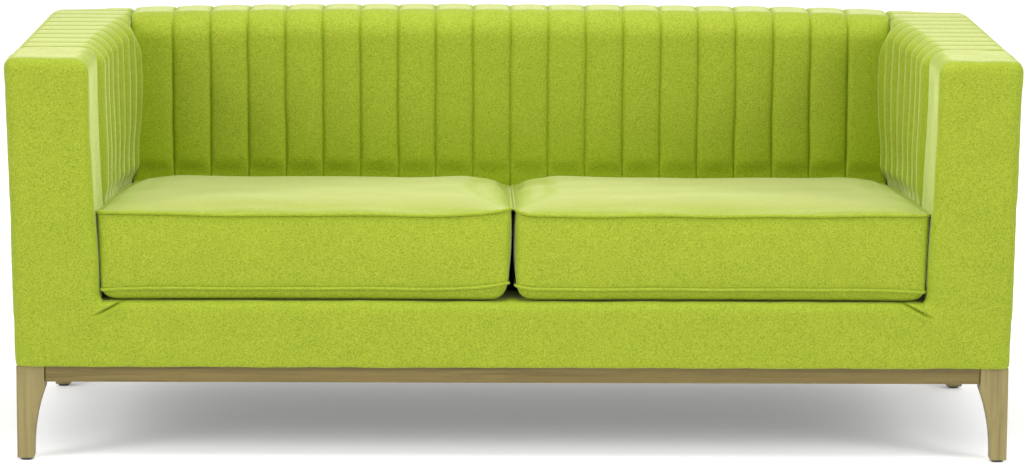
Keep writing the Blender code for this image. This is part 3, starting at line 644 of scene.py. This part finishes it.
def back_panel(name, seed):
    across = spaced(-1, 1, 0.014, edge=0.008)  # in shares of the half width
    x, z = np.meshgrid(across, spaced(BODY_BOTTOM, REAR_SEAM_Z - CLEAR, PANEL_STEP), indexing="ij")
    swell = 0.0012 * ripple(xyz(x, z), 0.3, seed)
    outer = xyz(x * half_width(z), BACK_Y - CLEAR + swell - pulled_edges(x, z), z)
    return slab(name, outer, xyz(x * (half_width(z) - 2 * CLEAR), BOARD_BACK_Y + 2 * CLEAR, z))


# ---- seat: its plane, deck and cushions

SEAT_PITCH = math.radians(-3.0)
SEAT_ORIGIN_Y = -0.400
SEAT_ORIGIN_Z = 0.2885
CUSHION_MIDDLE_X = 0.3626
CUSHION_FRONT = -0.010
CUSHION_HALF = 0.3592
CUSHION_DEPTH = 0.666
HALF_DEPTH = 0.5 * CUSHION_DEPTH
SEAM_LOW, SEAM_HIGH = 0.0185, 0.1475
CORNER_ROUND = 0.009
CUSHION_CELL = 0.0115
GRID_EDGE_STEPS = (0, 0.0025, 0.0055, 0.0095, 0.0150, 0.0225, 0.032)  # of a cushion's mesh, from its edge
CROWN_REST = 0.0145  # before the filling pushes the cloth up
END_POWER, FRONT_POWER, REAR_POWER = 24, 7, 24  # how late the crown falls off towards the edges
REAR_SINK = 0.009  # the boxing is lower at the back
REAR_NOTCH = 0.006  # and lower still where the two cushions meet there
OUTER_WAIST, REAR_WAIST, FRONT_FLARE = 0.0015, 0.012, 0.0032
FRONT_WAIST = 0.0040
INNER_WAIST = 0.0009
OUTER_DRAWN = 0.0062  # the lower edge is drawn in at the outer end
INNER_CORNERS = {  # of the left and right cushion: its front corner lifts, and its lower edge is drawn out
    -1: {"lift": 0.0120, "reach": 0.034, "low_lift": 0.012, "low_reach": 0.035, "drawn": 0.0055},
    1: {"lift": 0.0115, "reach": 0.012, "low_lift": 0.008, "low_reach": 0.012, "drawn": 0.001},
}
BOTTOM_REST = 0.0004
LIP_REST = -0.0022  # over the padded front edge
BOTTOM_ROUND_X, BOTTOM_ROUND_Y = 0.030, 0.011
SIDE_REST = 0.0035
CLOTH_FRAMES = 20
PUSH_LIMIT = 0.0055
SIDE_LIMIT, INNER_LIMIT, FRONT_LIMIT = 0.0035, 0.0028, -0.004
PIPING_RADIUS = 0.0029
PIPING_OUT = 0.0013
ZIP_BACK = CUSHION_DEPTH - 0.0008
seat_plane = Matrix.Translation((0, SEAT_ORIGIN_Y, SEAT_ORIGIN_Z)) @ Matrix.Rotation(SEAT_PITCH, 4, "X")


def on_seat(points):
    """Points in the seat's tilted axes as points in the sofa's."""
    return np.asarray(points, float) @ np.array(seat_plane.to_3x3()).T + np.array(seat_plane.translation)


def to_sofa(points, side):
    """Points in a cushion's own axes (middle of its front edge at 0) as points in the sofa's."""
    return on_seat(np.asarray(points, float) + [side * CUSHION_MIDDLE_X, CUSHION_FRONT, 0])


def bed_height(y):
    """The height of what a cushion lies on: the deck, and the lower lip of padding in front of it."""
    return LIP_REST + (BOTTOM_REST - LIP_REST) * ease(y, 0.008, 0.022)


def graded(start, end):
    """Grid lines from start to end, closer together near both."""
    near, last = np.array(GRID_EDGE_STEPS[:-1]), GRID_EDGE_STEPS[-1]
    middle = np.linspace(start + last, end - last, round((end - start - 2 * last) / CUSHION_CELL) + 1)
    return np.concatenate([start + near, middle, end - near[::-1]])


def outer_waist(y):
    """How far a cushion's outer side is drawn in, y behind its front: a little halfway, more at the back."""
    middle = OUTER_WAIST * (1 - ((y - HALF_DEPTH) / HALF_DEPTH) ** 2)
    return middle + REAR_WAIST * ease(y, 0.35, CUSHION_DEPTH) - FRONT_FLARE * np.exp(-y / 0.15)


def cushion_side(y):
    """How far out a cushion and its piping reach at y, in the sofa's axes."""
    waist = outer_waist(np.clip(y - SEAT_ORIGIN_Y - CUSHION_FRONT, 0, CUSHION_DEPTH))
    beyond = max(PIPING_RADIUS + PIPING_OUT - waist, min(SIDE_LIMIT, SIDE_REST + 0.005 - waist))
    return CUSHION_MIDDLE_X + CUSHION_HALF + beyond + CLEAR


def cushion_edge_z(y):
    """The height of a cushion's upper piping at y."""
    behind = np.clip(y - SEAT_ORIGIN_Y, 0, CUSHION_DEPTH)
    fall = behind * math.tan(-SEAT_PITCH) + REAR_SINK * (behind / CUSHION_DEPTH) ** 2
    return SEAT_ORIGIN_Z + SEAM_HIGH + 0.004 - fall


def in_plan(x, y, side):
    """A point of the cushion's square plan, after its corners are rounded and its free sides drawn in."""
    px, py = np.abs(x) - (CUSHION_HALF - CORNER_ROUND), np.abs(y - HALF_DEPTH) - (HALF_DEPTH - CORNER_ROUND)
    corner = (px > 0) & (py > 0)
    scale = np.maximum(px, py) / np.maximum(np.hypot(px, py), 1e-9)
    nx = np.where(corner, np.sign(x) * (CUSHION_HALF - CORNER_ROUND + px * scale), x)
    ny = np.where(corner, HALF_DEPTH + np.sign(y - HALF_DEPTH) * (HALF_DEPTH - CORNER_ROUND + py * scale), y)
    outer, inner = ease(nx * side, 0, CUSHION_HALF), ease(-nx * side, 0, CUSHION_HALF)
    waist_y = FRONT_WAIST * (1 - (nx / CUSHION_HALF) ** 2)
    nx = nx - side * (outer_waist(ny) * outer - INNER_WAIST * inner)
    return nx, HALF_DEPTH + (ny - HALF_DEPTH) * (1 - waist_y / HALF_DEPTH)


def cushion_grids(side, seed):
    """A cushion's crowned top and its flat bottom, as grids of points."""
    px, py = np.meshgrid(graded(-CUSHION_HALF, CUSHION_HALF), graded(0, CUSHION_DEPTH), indexing="ij")
    nx, ny = in_plan(px, py, side)
    corner, from_inner = INNER_CORNERS[side], np.abs(nx + side * CUSHION_HALF)
    near_front = np.exp(-ny / 0.06)
    outer_end = np.exp(-np.abs(nx - side * CUSHION_HALF) / 0.05) * near_front
    wave = ripple(xyz(nx, ny), 0.21, seed)

    share_x, share_y = np.abs(px) / CUSHION_HALF, np.abs(py / HALF_DEPTH - 1)
    power_y = np.where(py < HALF_DEPTH, FRONT_POWER, REAR_POWER)
    top_z = SEAM_HIGH + CROWN_REST * (1 - share_x**END_POWER) * (1 - share_y**power_y)
    top_z += corner["lift"] * np.exp(-from_inner / corner["reach"]) * near_front
    top_z += 0.0030 * outer_end + 0.0014 * wave - REAR_SINK * (ny / CUSHION_DEPTH) ** 2
    top_z -= REAR_NOTCH * np.exp(-from_inner / 0.022) * ease(ny, 0.25, CUSHION_DEPTH)

    seam_z = SEAM_LOW + corner["low_lift"] * np.exp(-from_inner / corner["low_reach"]) * near_front
    seam_z += 0.0007 * wave - 0.0035 * outer_end
    from_end = np.clip((CUSHION_HALF - np.abs(px)) / BOTTOM_ROUND_X, 0, 1)
    from_front = np.clip((HALF_DEPTH - np.abs(py - HALF_DEPTH)) / BOTTOM_ROUND_Y, 0, 1)
    tucked = np.sqrt(np.clip(1 - (1 - from_end) ** 2 - (1 - from_front) ** 2, 0, 1))
    bottom_z = seam_z - (seam_z - bed_height(ny)) * tucked
    outer, inner = ease(nx * side, 0, CUSHION_HALF), ease(-nx * side, 0, CUSHION_HALF)
    bottom_x = nx - side * (OUTER_DRAWN * outer - corner["drawn"] * inner)
    return xyz(nx, ny, top_z), xyz(bottom_x, ny, bottom_z)


def boxing(low_ring, high_ring):
    """Rings of points up a cushion's sides, between its seams. The sides belly out between their corners."""
    outward = (high_ring - [0, HALF_DEPTH, 0]) * [1, 1, 0]
    share = np.abs(outward[:, :2]) / [CUSHION_HALF, HALF_DEPTH]
    out = np.sign(outward) * np.where((share[:, 0] > share[:, 1])[:, None], [1, 0, 0], [0, 1, 0])
    belly = SIDE_REST * ease(1 - share.min(axis=1), 0.0, 0.25)
    count = round((SEAM_HIGH - SEAM_LOW) / CUSHION_CELL)
    for t in np.arange(1, count) / count:
        yield low_ring + (high_ring - low_ring) * t + out * (belly * math.sin(math.pi * t))[:, None]


def cushion_shape(side, seed):
    """The cushion as quads: its points, its faces, and the numbers of the points on its two seams."""
    top, bottom = cushion_grids(side, seed)
    grid = np.arange(top[..., 0].size).reshape(top.shape[:2])
    rim = rim_of(grid.T)
    points = [top.reshape(-1, 3), bottom.reshape(-1, 3)]
    points += boxing(points[1][rim], points[0][rim])
    firsts = 2 * grid.size + len(rim) * np.arange(len(points) - 2)
    rings = [rim + grid.size] + [first + np.arange(len(rim)) for first in firsts] + [rim]
    faces = grid_faces(grid) + grid_faces(grid + grid.size)
    for a, b in zip(rings[:-1], rings[1:]):
        faces += band_faces(a, b)
    return np.concatenate(points), faces, rings[0], rings[-1]


def inflate(obj, seam_points):
    """The filling pushes the cloth out between its pinned seams. Gives the points' new places."""
    pins = obj.vertex_groups.new(name="seams")
    pins.add([int(i) for i in seam_points], 1.0, "REPLACE")
    before = points_of(obj)
    cloth = obj.modifiers.new("filling", "CLOTH")
    settings = cloth.settings
    settings.quality = 6
    settings.mass = 0.3
    settings.tension_stiffness = settings.compression_stiffness = 12
    settings.shear_stiffness = 6
    settings.bending_stiffness = 0.6
    settings.vertex_group_mass = pins.name
    settings.use_pressure = True
    settings.uniform_pressure_force = 4
    settings.effector_weights.gravity = 0
    cloth.collision_settings.use_collision = False
    cloth.point_cache.frame_start, cloth.point_cache.frame_end = 1, CLOTH_FRAMES
    for number in range(1, CLOTH_FRAMES + 1):
        bpy.context.scene.frame_set(number)
    applied(obj)
    obj.vertex_groups.clear()
    bpy.context.scene.frame_set(1)
    move = points_of(obj) - before
    sinking = (before[:, 2] > SEAM_HIGH) & (move[:, 2] < 0)
    move[:, 2] *= np.where(sinking, 0.15, 1.0)  # the crown keeps its shoulders
    free = np.where(before[:, 2] < SEAM_LOW - 0.001, 0.1, 1.0)[:, None]  # the bottom lies on the deck
    length = np.maximum(norm(move, axis=1, keepdims=True), 1e-9)
    return before + free * move * np.tanh(length / PUSH_LIMIT) * PUSH_LIMIT / length


def cushion(name, piping_name, side, seed):
    """A cushion and its piping, as two objects."""
    points, faces, low_seam, high_seam = cushion_shape(side, seed)
    obj = obj_from(name, points, faces, merge=1e-7)
    points = inflate(obj, np.concatenate([low_seam, high_seam]))
    points[:, 2] = np.maximum(points[:, 2], bed_height(points[:, 1]))
    points[:, 1] = np.clip(points[:, 1], FRONT_LIMIT, ZIP_BACK)
    most = CUSHION_HALF + np.where(side * points[:, 0] > 0, SIDE_LIMIT, INNER_LIMIT)
    points[:, 0] = np.clip(points[:, 0], -most, most)
    cords = [piping(points[ring], side, up) for ring, up in ((low_seam, -1), (high_seam, 1))]
    set_points(obj, to_sofa(points, side))
    on_seam = [set(ring.tolist()) for ring in (low_seam, high_seam)]
    values = [float(any(seam.issuperset(edge.vertices) for seam in on_seam)) for edge in obj.data.edges]
    obj.data.attributes.new("crease_edge", "FLOAT", "EDGE").data.foreach_set("value", values)
    rounder = obj.modifiers.new("rounder", "SUBSURF")
    rounder.levels = rounder.render_levels = 1
    applied(obj)
    obj.data.shade_smooth()
    return obj, joined_cords(piping_name, cords)


def piping(seam, side, up, step=0.0035, around=10):
    """Rings of points round a cord in cloth, along a closed seam. It sits just outside the seam."""
    loop = np.concatenate([seam, seam[:1]])
    along = run_along(loop)
    count = round(along[-1] / step)
    at = np.linspace(0, along[-1], count, endpoint=False)
    line = np.stack([np.interp(at, along, loop[:, k]) for k in range(3)], axis=1)
    for _ in range(6):
        line = 0.5 * line + 0.25 * (np.roll(line, 1, axis=0) + np.roll(line, -1, axis=0))
    ahead = np.roll(line, -1, axis=0) - np.roll(line, 1, axis=0)
    ahead /= norm(ahead, axis=1, keepdims=True)
    out = np.cross(ahead, [0, 0, 1])
    out /= norm(out, axis=1, keepdims=True)
    out *= np.sign(np.sum(out * (line - line.mean(axis=0)), axis=1).sum())
    above = np.cross(out, ahead)
    above *= np.sign(above[0][2])
    line = line + out * PIPING_OUT + above * up * 0.0004
    angle = np.linspace(0, 2 * math.pi, around, endpoint=False)[None, :, None]
    radius = PIPING_RADIUS * (1 + 0.05 * np.sin(2 * math.pi * at / 0.0085))  # the cord's twist shows through
    ring = np.cos(angle) * out[:, None] + np.sin(angle) * above[:, None]
    rings = line[:, None] + radius[:, None, None] * ring
    return to_sofa(rings.reshape(-1, 3), side).reshape(count, around, 3)


def joined_cords(name, cords):
    """One object of closed cords, each an array (stations, points round it, 3)."""
    points, faces, start = [], [], 0
    for rings in cords:
        count, size = rings.shape[:2]
        index = np.arange(count * size).reshape(count, size) + start
        for a, b in zip(index, np.roll(index, -1, axis=0)):
            faces += band_faces(a, b)
        points.append(rings.reshape(-1, 3))
        start += count * size
    return obj_from(name, np.concatenate(points), faces)


DECK_LIP_Y = -0.27  # the deck's front edge is covered in the sofa's own cloth
DECK_LENGTH, DECK_THICKNESS = 0.660, 0.015


def deck(name):
    """The cloth-covered padding over the springs."""
    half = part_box("deck_pad")[1].x
    x, y = np.meshgrid(spaced(-half, half, 0.02), spaced(0.005, DECK_LENGTH, 0.02), indexing="ij")
    swell = 0.0010 * ripple(xyz(x, y), 0.14, 71) - 0.0012
    heights = (np.minimum(swell, -0.0004) - pulled_edges(x, y), -DECK_THICKNESS)
    made = slab(name, *(on_seat(xyz(x, y, z)) for z in heights))
    made.data.materials.append(LINING)
    made.data.materials.append(GREEN)
    for face in made.data.polygons:
        face.material_index = int(face.center.y < DECK_LIP_Y)
    return made


# ---- materials


class Look:
    """A node material, built a node at a time on Blender's own shader."""

    def __init__(self, name, **constants):
        self.material = bpy.data.materials.new(name)
        self.material.use_nodes = True
        self.tree = self.material.node_tree
        self.shader = self.tree.nodes["Principled BSDF"]
        for key, value in constants.items():
            self.shader.inputs[key.replace("_", " ").title().replace("Ior", "IOR")].default_value = value
        self.where = self.node("TexCoord").outputs["Object"]

    def node(self, kind, links=(), **settings):
        made = self.tree.nodes.new("ShaderNode" + kind)
        for key, value in settings.items():
            setattr(made, key, value)
        for socket, value in dict(links).items():
            if isinstance(value, bpy.types.NodeSocket):
                self.tree.links.new(value, made.inputs[socket])
            else:
                made.inputs[socket].default_value = value
        return made

    def stretched(self, scale):
        return self.node("Mapping", {"Vector": self.where, "Scale": scale}).outputs[0]

    def noise(self, scale, detail=2.0, rough=0.5, bend=0.0, where=None):
        values = {"Vector": where or self.where, "Scale": scale, "Detail": detail}
        values.update({"Roughness": rough, "Distortion": bend})
        return self.node("TexNoise", values).outputs["Fac"]

    def ramp(self, value, *stops):
        """stops are (place, colour) pairs."""
        made = self.node("ValToRGB", {"Fac": value})
        row = made.color_ramp.elements
        while len(row) < len(stops):
            row.new(0.5)
        for element, (place, colour) in zip(row, stops):
            element.position = place
            element.color = (*colour, 1) if len(colour) == 3 else colour
        return made.outputs["Color"]

    def spread(self, value, start, end, low_value=0.0, high_value=1.0, kind="LINEAR"):
        values = {"Value": value, "From Min": start, "From Max": end}
        values.update({"To Min": low_value, "To Max": high_value})
        return self.node("MapRange", values, interpolation_type=kind).outputs[0]

    def mix(self, share, first, second, blend="MIX"):
        made = self.node("Mix", data_type="RGBA", blend_type=blend)
        for socket, value in ((0, share), (6, first), (7, second)):
            if isinstance(value, bpy.types.NodeSocket):
                self.tree.links.new(value, made.inputs[socket])
            else:
                made.inputs[socket].default_value = value if socket == 0 else (*value, 1)
        return made.outputs[2]

    def layered(self, colour, *layers):
        """Tones laid over a colour. A layer: value, where it starts and is strongest, share and tone."""
        for value, start, end, most, tone in layers:
            colour = self.mix(self.spread(value, start, end, 0.0, most), colour, tone)
        return colour

    def edges(self):
        return self.node("NewGeometry").outputs["Pointiness"]

    def maths(self, operation, first, second=0.0):
        return self.node("Math", {0: first, 1: second}, operation=operation).outputs[0]

    def bump(self, height, depth, strength=1.0, under=None):
        links = {"Height": height, "Distance": depth, "Strength": strength}
        if under is not None:
            links["Normal"] = under
        return self.node("Bump", links).outputs[0]

    def done(self, colour, rough, normal):
        for socket, value in (("Base Color", colour), ("Roughness", rough), ("Normal", normal)):
            self.tree.links.new(value, self.shader.inputs[socket])
        return self.material


def felt(name, dark, middle, light, fleck, nap=0.62, painted_highlight=None):
    """Felted melange wool: mottled yarn colours, short fibres and a soft nap. Given a highlight colour, it
    also paints shade into recesses and a highlight onto faces turned up.
    """
    tint = (0.94, 1.0, 0.54, 1)
    look = Look(name, specular_ior_level=0.15, sheen_weight=nap, sheen_roughness=0.24, sheen_tint=tint)
    mottle = look.noise(520, 3.0, 0.62, 0.7)
    yarn = look.noise(900, 2.0, 0.55, 0.4, look.stretched((0.6, 0.6, 1.3)))
    fibre = look.noise(1900, 3.0, 0.7, 1.2)
    blotch = look.noise(270, 2.0, 0.5, 0.5)
    cloud = look.noise(16, 2.0, 0.5)
    colour = look.layered(
        look.ramp(mottle, (0.34, dark), (0.50, middle), (0.66, light)),
        (yarn, 0.56, 0.74, 0.55, fleck),
        (yarn, 0.44, 0.28, 0.45, dark),
        (fibre, 0.35, 0.65, 0.22, light),
        (blotch, 0.56, 0.72, 0.30, light),
        (blotch, 0.44, 0.28, 0.30, dark),
    )
    uneven = look.ramp(cloud, (0.3, (0.955, 0.955, 0.95)), (0.7, (1.0, 1.0, 1.0)))
    colour = look.layered(look.mix(1.0, colour, uneven, "MULTIPLY"), (look.edges(), 0.52, 0.62, 0.20, light))
    if painted_highlight:
        facing = look.node("NewGeometry").outputs["Normal"]
        up = look.node("SeparateXYZ", {0: facing}).outputs["Z"]
        occlusion_for_painted_shade = look.node("AmbientOcclusion", {"Distance": 0.16}, samples=5).outputs["AO"]
        painted_recess_shade = look.mix(1.0, colour, (0.95, 1.05, 0.25), "MULTIPLY")
        colour = look.layered(colour, (occlusion_for_painted_shade, 0.85, 0.35, 1.0, painted_recess_shade))  # painted shade: recesses found by ambient occlusion get a darker, greener colour
        upward_painted_highlight = look.spread(up, 0.976, 1.0002, 0.0, 0.14, "SMOOTHERSTEP")
        share = look.maths("MULTIPLY", upward_painted_highlight, look.spread(occlusion_for_painted_shade, 0.45, 0.8))
        colour = look.mix(share, colour, painted_highlight)  # painted highlight: faces turned up to the light mix towards a pale colour, except in recesses
    height = look.maths("ADD", look.maths("MULTIPLY", mottle, 0.5), look.maths("MULTIPLY", yarn, 0.8))
    height = look.maths("ADD", height, look.maths("MULTIPLY", fibre, 0.35))
    return look.done(colour, look.spread(yarn, 0.3, 0.7, 0.58, 0.72), look.bump(height, 0.0007, 0.7))


def wood(name, light, middle, dark, axis, gloss=0.46):
    """Oiled hardwood with its grain along one axis: growth lines, pores and rays."""
    scale = [1.0, 1.0, 1.0]
    scale[axis] = 0.045
    look = Look(name, specular_ior_level=0.42, coat_weight=0.06, coat_roughness=0.35)
    along = look.stretched(scale)
    lines = look.noise(95, 5.0, 0.62, 0.9, along)
    broad = look.noise(24, 2.0, 0.5, 0.5, along)
    pores = look.noise(900, 2.0, 0.6, 0.0, along)
    cross = [1.0, 1.0, 1.0]
    cross[axis] = 0.35
    ray = look.noise(330, 1.0, 0.5, 0.0, look.stretched(cross))
    colour = look.layered(
        look.ramp(lines, (0.30, dark), (0.47, middle), (0.62, light)),
        (broad, 0.35, 0.7, 0.5, middle),
        (pores, 0.60, 0.72, 0.45, dark),
        (ray, 0.58, 0.72, 0.25, light),
        (look.edges(), 0.53, 0.66, 0.4, light),
    )
    open_pores = look.spread(pores, 0.58, 0.74, 0.0, 0.5)
    height = look.maths("SUBTRACT", look.maths("MULTIPLY", lines, 0.6), open_pores)
    rough = look.spread(lines, 0.3, 0.7, gloss + 0.12, gloss - 0.04)
    return look.done(colour, rough, look.bump(height, 0.0004, 0.5))


def grained(name, base, scratch, metallic, rough, scale, stretch=(1, 1, 1), depth=0.0002, **constants):
    """A hard or woven plain surface: fine mottling, scratches along one way, uneven polish."""
    look = Look(name, metallic=metallic, **constants)
    fine = look.noise(scale, 4.0, 0.6, 0.3, look.stretched(stretch))
    cloud = look.noise(scale / 9, 2.0)
    layers = (cloud, 0.35, 0.7, 0.3, base), (look.edges(), 0.52, 0.65, 0.45, scratch)
    colour = look.layered(look.ramp(fine, (0.3, base), (0.75, scratch)), *layers)
    return look.done(colour, look.spread(fine, 0.3, 0.7, *rough), look.bump(fine, depth, 0.5))


def wear(obj, material):
    obj.data.materials.clear()
    obj.data.materials.append(material)


def piece(obj, body, material, slot, *nodes):
    """Puts a new piece on its body, in its material, for the CAD nodes that it stands for."""
    if material:
        wear(obj, material)
    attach(obj, body)
    if nodes:
        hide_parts(*nodes)
    return obj


greens = ((0.1058, 0.1531, 0.0038), (0.189, 0.2362, 0.0095), (0.2684, 0.3175, 0.0246))
darks = [(0.020, 0.024, 0.018), (0.030, 0.034, 0.026), (0.045, 0.050, 0.040), (0.06, 0.065, 0.055)]
# The pale colour given to the green felt is a painted highlight for faces turned up to the light.
GREEN = felt("felt_green", *greens, (0.3874, 0.4205, 0.0709), painted_highlight=(0.57, 0.475, 0.39))
LINING = felt("lining_dark", *darks, nap=0.1)
OAK = [(0.206, 0.164, 0.058), (0.166, 0.130, 0.042), (0.108, 0.082, 0.022)]
# The rails' oak is darker than the legs': partly a darker wood, partly painted shade where the body's
# overhang shades them.
DARK_SHADED_RAIL_OAK = [(0.138, 0.098, 0.020), (0.108, 0.074, 0.012), (0.066, 0.043, 0.006)]
PINE = [(0.72, 0.55, 0.31), (0.63, 0.45, 0.23), (0.48, 0.31, 0.14)]
oak = [wood(f"oak_{'xyz'[k]}", *OAK, axis=k) for k in range(3)]
dark_shaded_rail_oak = [wood(f"dark_shaded_rail_oak_{'xyz'[k]}", *DARK_SHADED_RAIL_OAK, axis=k) for k in range(2)]
pine = [wood(f"pine_{'xyz'[k]}", *PINE, axis=k, gloss=0.7) for k in range(3)]
zinc = grained("zinc", (0.50, 0.51, 0.52), (0.68, 0.69, 0.70), 1.0, (0.28, 0.46), 420)
steel = grained("spring_steel", (0.20, 0.20, 0.21), (0.40, 0.40, 0.41), 1.0, (0.34, 0.55), 300, (1, 0.2, 1))
nylon = grained("nylon", (0.020, 0.020, 0.021), (0.055, 0.055, 0.057), 0.0, (0.42, 0.62), 700)
woven = {"depth": 0.0004, "sheen_weight": 0.15}
nonwoven = grained("nonwoven", (0.014, 0.014, 0.015), (0.050, 0.050, 0.052), 0.0, (0.80, 0.95), 900, **woven)
zip_look = ((0.26, 0.35, 0.03), (0.38, 0.47, 0.06), 0.0, (0.75, 0.92), 1300, (1, 1, 0.3))
zip_cloth = grained("zip_cloth", *zip_look, **woven)
slider = grained("slider_metal", (0.42, 0.43, 0.44), (0.66, 0.67, 0.68), 1.0, (0.22, 0.40), 800)

# ---- the soft pieces

border_pads = ("arm_front_pad_left", "arm_front_pad_right", "base_front_pad")
piece(front_border("front_border"), "frame", GREEN, "upholstery", *border_pads)
for label, side in SIDES:
    channels = arm_channels(f"arm_channels_{label}", side, 40 + side)
    piece(channels, "frame", GREEN, "upholstery", f"arm_pad_{label}")
    panel = side_panel(f"side_cloth_{label}", side, 50 + side)
    piece(panel, "frame", GREEN, "upholstery", f"side_panel_{label}")
    covered, cords = cushion(f"cushion_{label}", f"cushion_piping_{label}", side, 60 + side)
    inside = (f"cushion_cover_{label}", f"cushion_foam_{label}")
    piece(covered, f"seat_cushion_{label}", GREEN, "upholstery", *inside)
    piece(cords, f"seat_cushion_{label}", GREEN, "upholstery")
piece(back_channels("back_channels", 47), "frame", GREEN, "upholstery", "back_pad")
piece(back_panel("back_cloth", 57), "frame", GREEN, "upholstery", "back_panel")
piece(deck("deck_cloth"), "frame", None, "upholstery", "deck_pad")

# ---- the CAD pieces that stay

LOOKS = (  # the first row with a start of the node's name holds its material
    (("leg_",), oak[2]),
    (("base_rail_front", "base_rail_back"), dark_shaded_rail_oak[0]),
    (("base_rail_",), dark_shaded_rail_oak[1]),
    (("corner_block_",), oak[0]),
    (("seat_rail_front", "seat_rail_back", "spring_rail", "back_top_rail"), pine[0]),
    (("seat_rail_", "arm_top_rail_"), pine[1]),
    (("arm_post_", "back_post_"), pine[2]),
    (("glide_",), nylon),
    (("base_bolt_",), zinc),
    (("seat_spring_",), steel),
    (("dust_cover",), nonwoven),
    (("zip_tape_",), zip_cloth),
    (("zip_slider_",), slider),
)
for node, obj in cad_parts.items():
    if not obj.hide_render:
        wear(obj, next(look for starts, look in LOOKS if node.startswith(starts)))

# ---- floor, light and camera

FLOOR_SIZE = 60
floor_mesh = bpy.data.meshes.new("floor")
square = ((-1, -1), (1, -1), (1, 1), (-1, 1))
floor_mesh.from_pydata([(x * FLOOR_SIZE, y * FLOOR_SIZE, 0) for x, y in square], [], [(0, 1, 2, 3)])
floor = placed("floor", floor_mesh)
studio = Look("studio_floor", specular_ior_level=0.1, emission_color=(1, 1, 1, 1), emission_strength=0.18)
floor_tone = studio.ramp(studio.noise(2.0, 3.0), (0.3, (0.90, 0.90, 0.895)), (0.7, (0.92, 0.92, 0.915)))
floor_rough = studio.spread(studio.noise(30), 0.3, 0.7, 0.85, 0.95)
wear(floor, studio.done(floor_tone, floor_rough, studio.bump(studio.noise(60), 0.0002, 0.2)))


def soft_light(name, place, target, size, power, colour=(1, 1, 1)):
    data = bpy.data.lights.new(name, "AREA")
    data.shape, data.size, data.energy, data.color = "DISK", size, power, colour
    light = placed(name, data)
    light.location = place
    light.rotation_euler = (Vector(target) - Vector(place)).to_track_quat("-Z", "Y").to_euler()


world = bpy.data.worlds.new("studio")
world.use_nodes = True
backdrop = world.node_tree.nodes["Background"].inputs
backdrop["Color"].default_value, backdrop["Strength"].default_value = (1, 1, 1, 1), 1.0
bpy.context.scene.world = world
soft_light("key", (-4.6, -3.6, 2.6), (0, 0, 0.4), 2.4, 150)
soft_light("fill", (4.6, -3.6, 2.6), (0, 0, 0.4), 2.4, 143)
soft_light("seat", (0, -0.9, 2.6), (0, 0.25, 0.5), 1.3, 59, (0.97, 1.0, 0.90))
soft_light("overhead", (0, 1.8, 4.0), (0, 0, 0.4), 3.0, 45)
bpy.context.scene.view_settings.view_transform = "Standard"

CAMERA_PLACE = (-0.0759, -7.286, 1.533)
CAMERA_YAW, CAMERA_TILT, CAMERA_ROLL = 0.0106, 0.1622, 0.0049
CAMERA_LENS = 140.9
level = Vector((math.cos(CAMERA_YAW), -math.sin(CAMERA_YAW), 0))
flat_ahead = Vector((math.sin(CAMERA_YAW), math.cos(CAMERA_YAW), 0))
ahead = math.cos(CAMERA_TILT) * flat_ahead - math.sin(CAMERA_TILT) * Vector((0, 0, 1))
right = math.cos(CAMERA_ROLL) * level + math.sin(CAMERA_ROLL) * level.cross(ahead)
up = right.cross(ahead)
camera = placed("camera", bpy.data.cameras.new("camera"))
camera.data.lens = CAMERA_LENS
camera.data.clip_end = 200
camera.matrix_world = Matrix.Translation(CAMERA_PLACE) @ Matrix((right, up, -ahead)).transposed().to_4x4()
bpy.context.scene.camera = camera
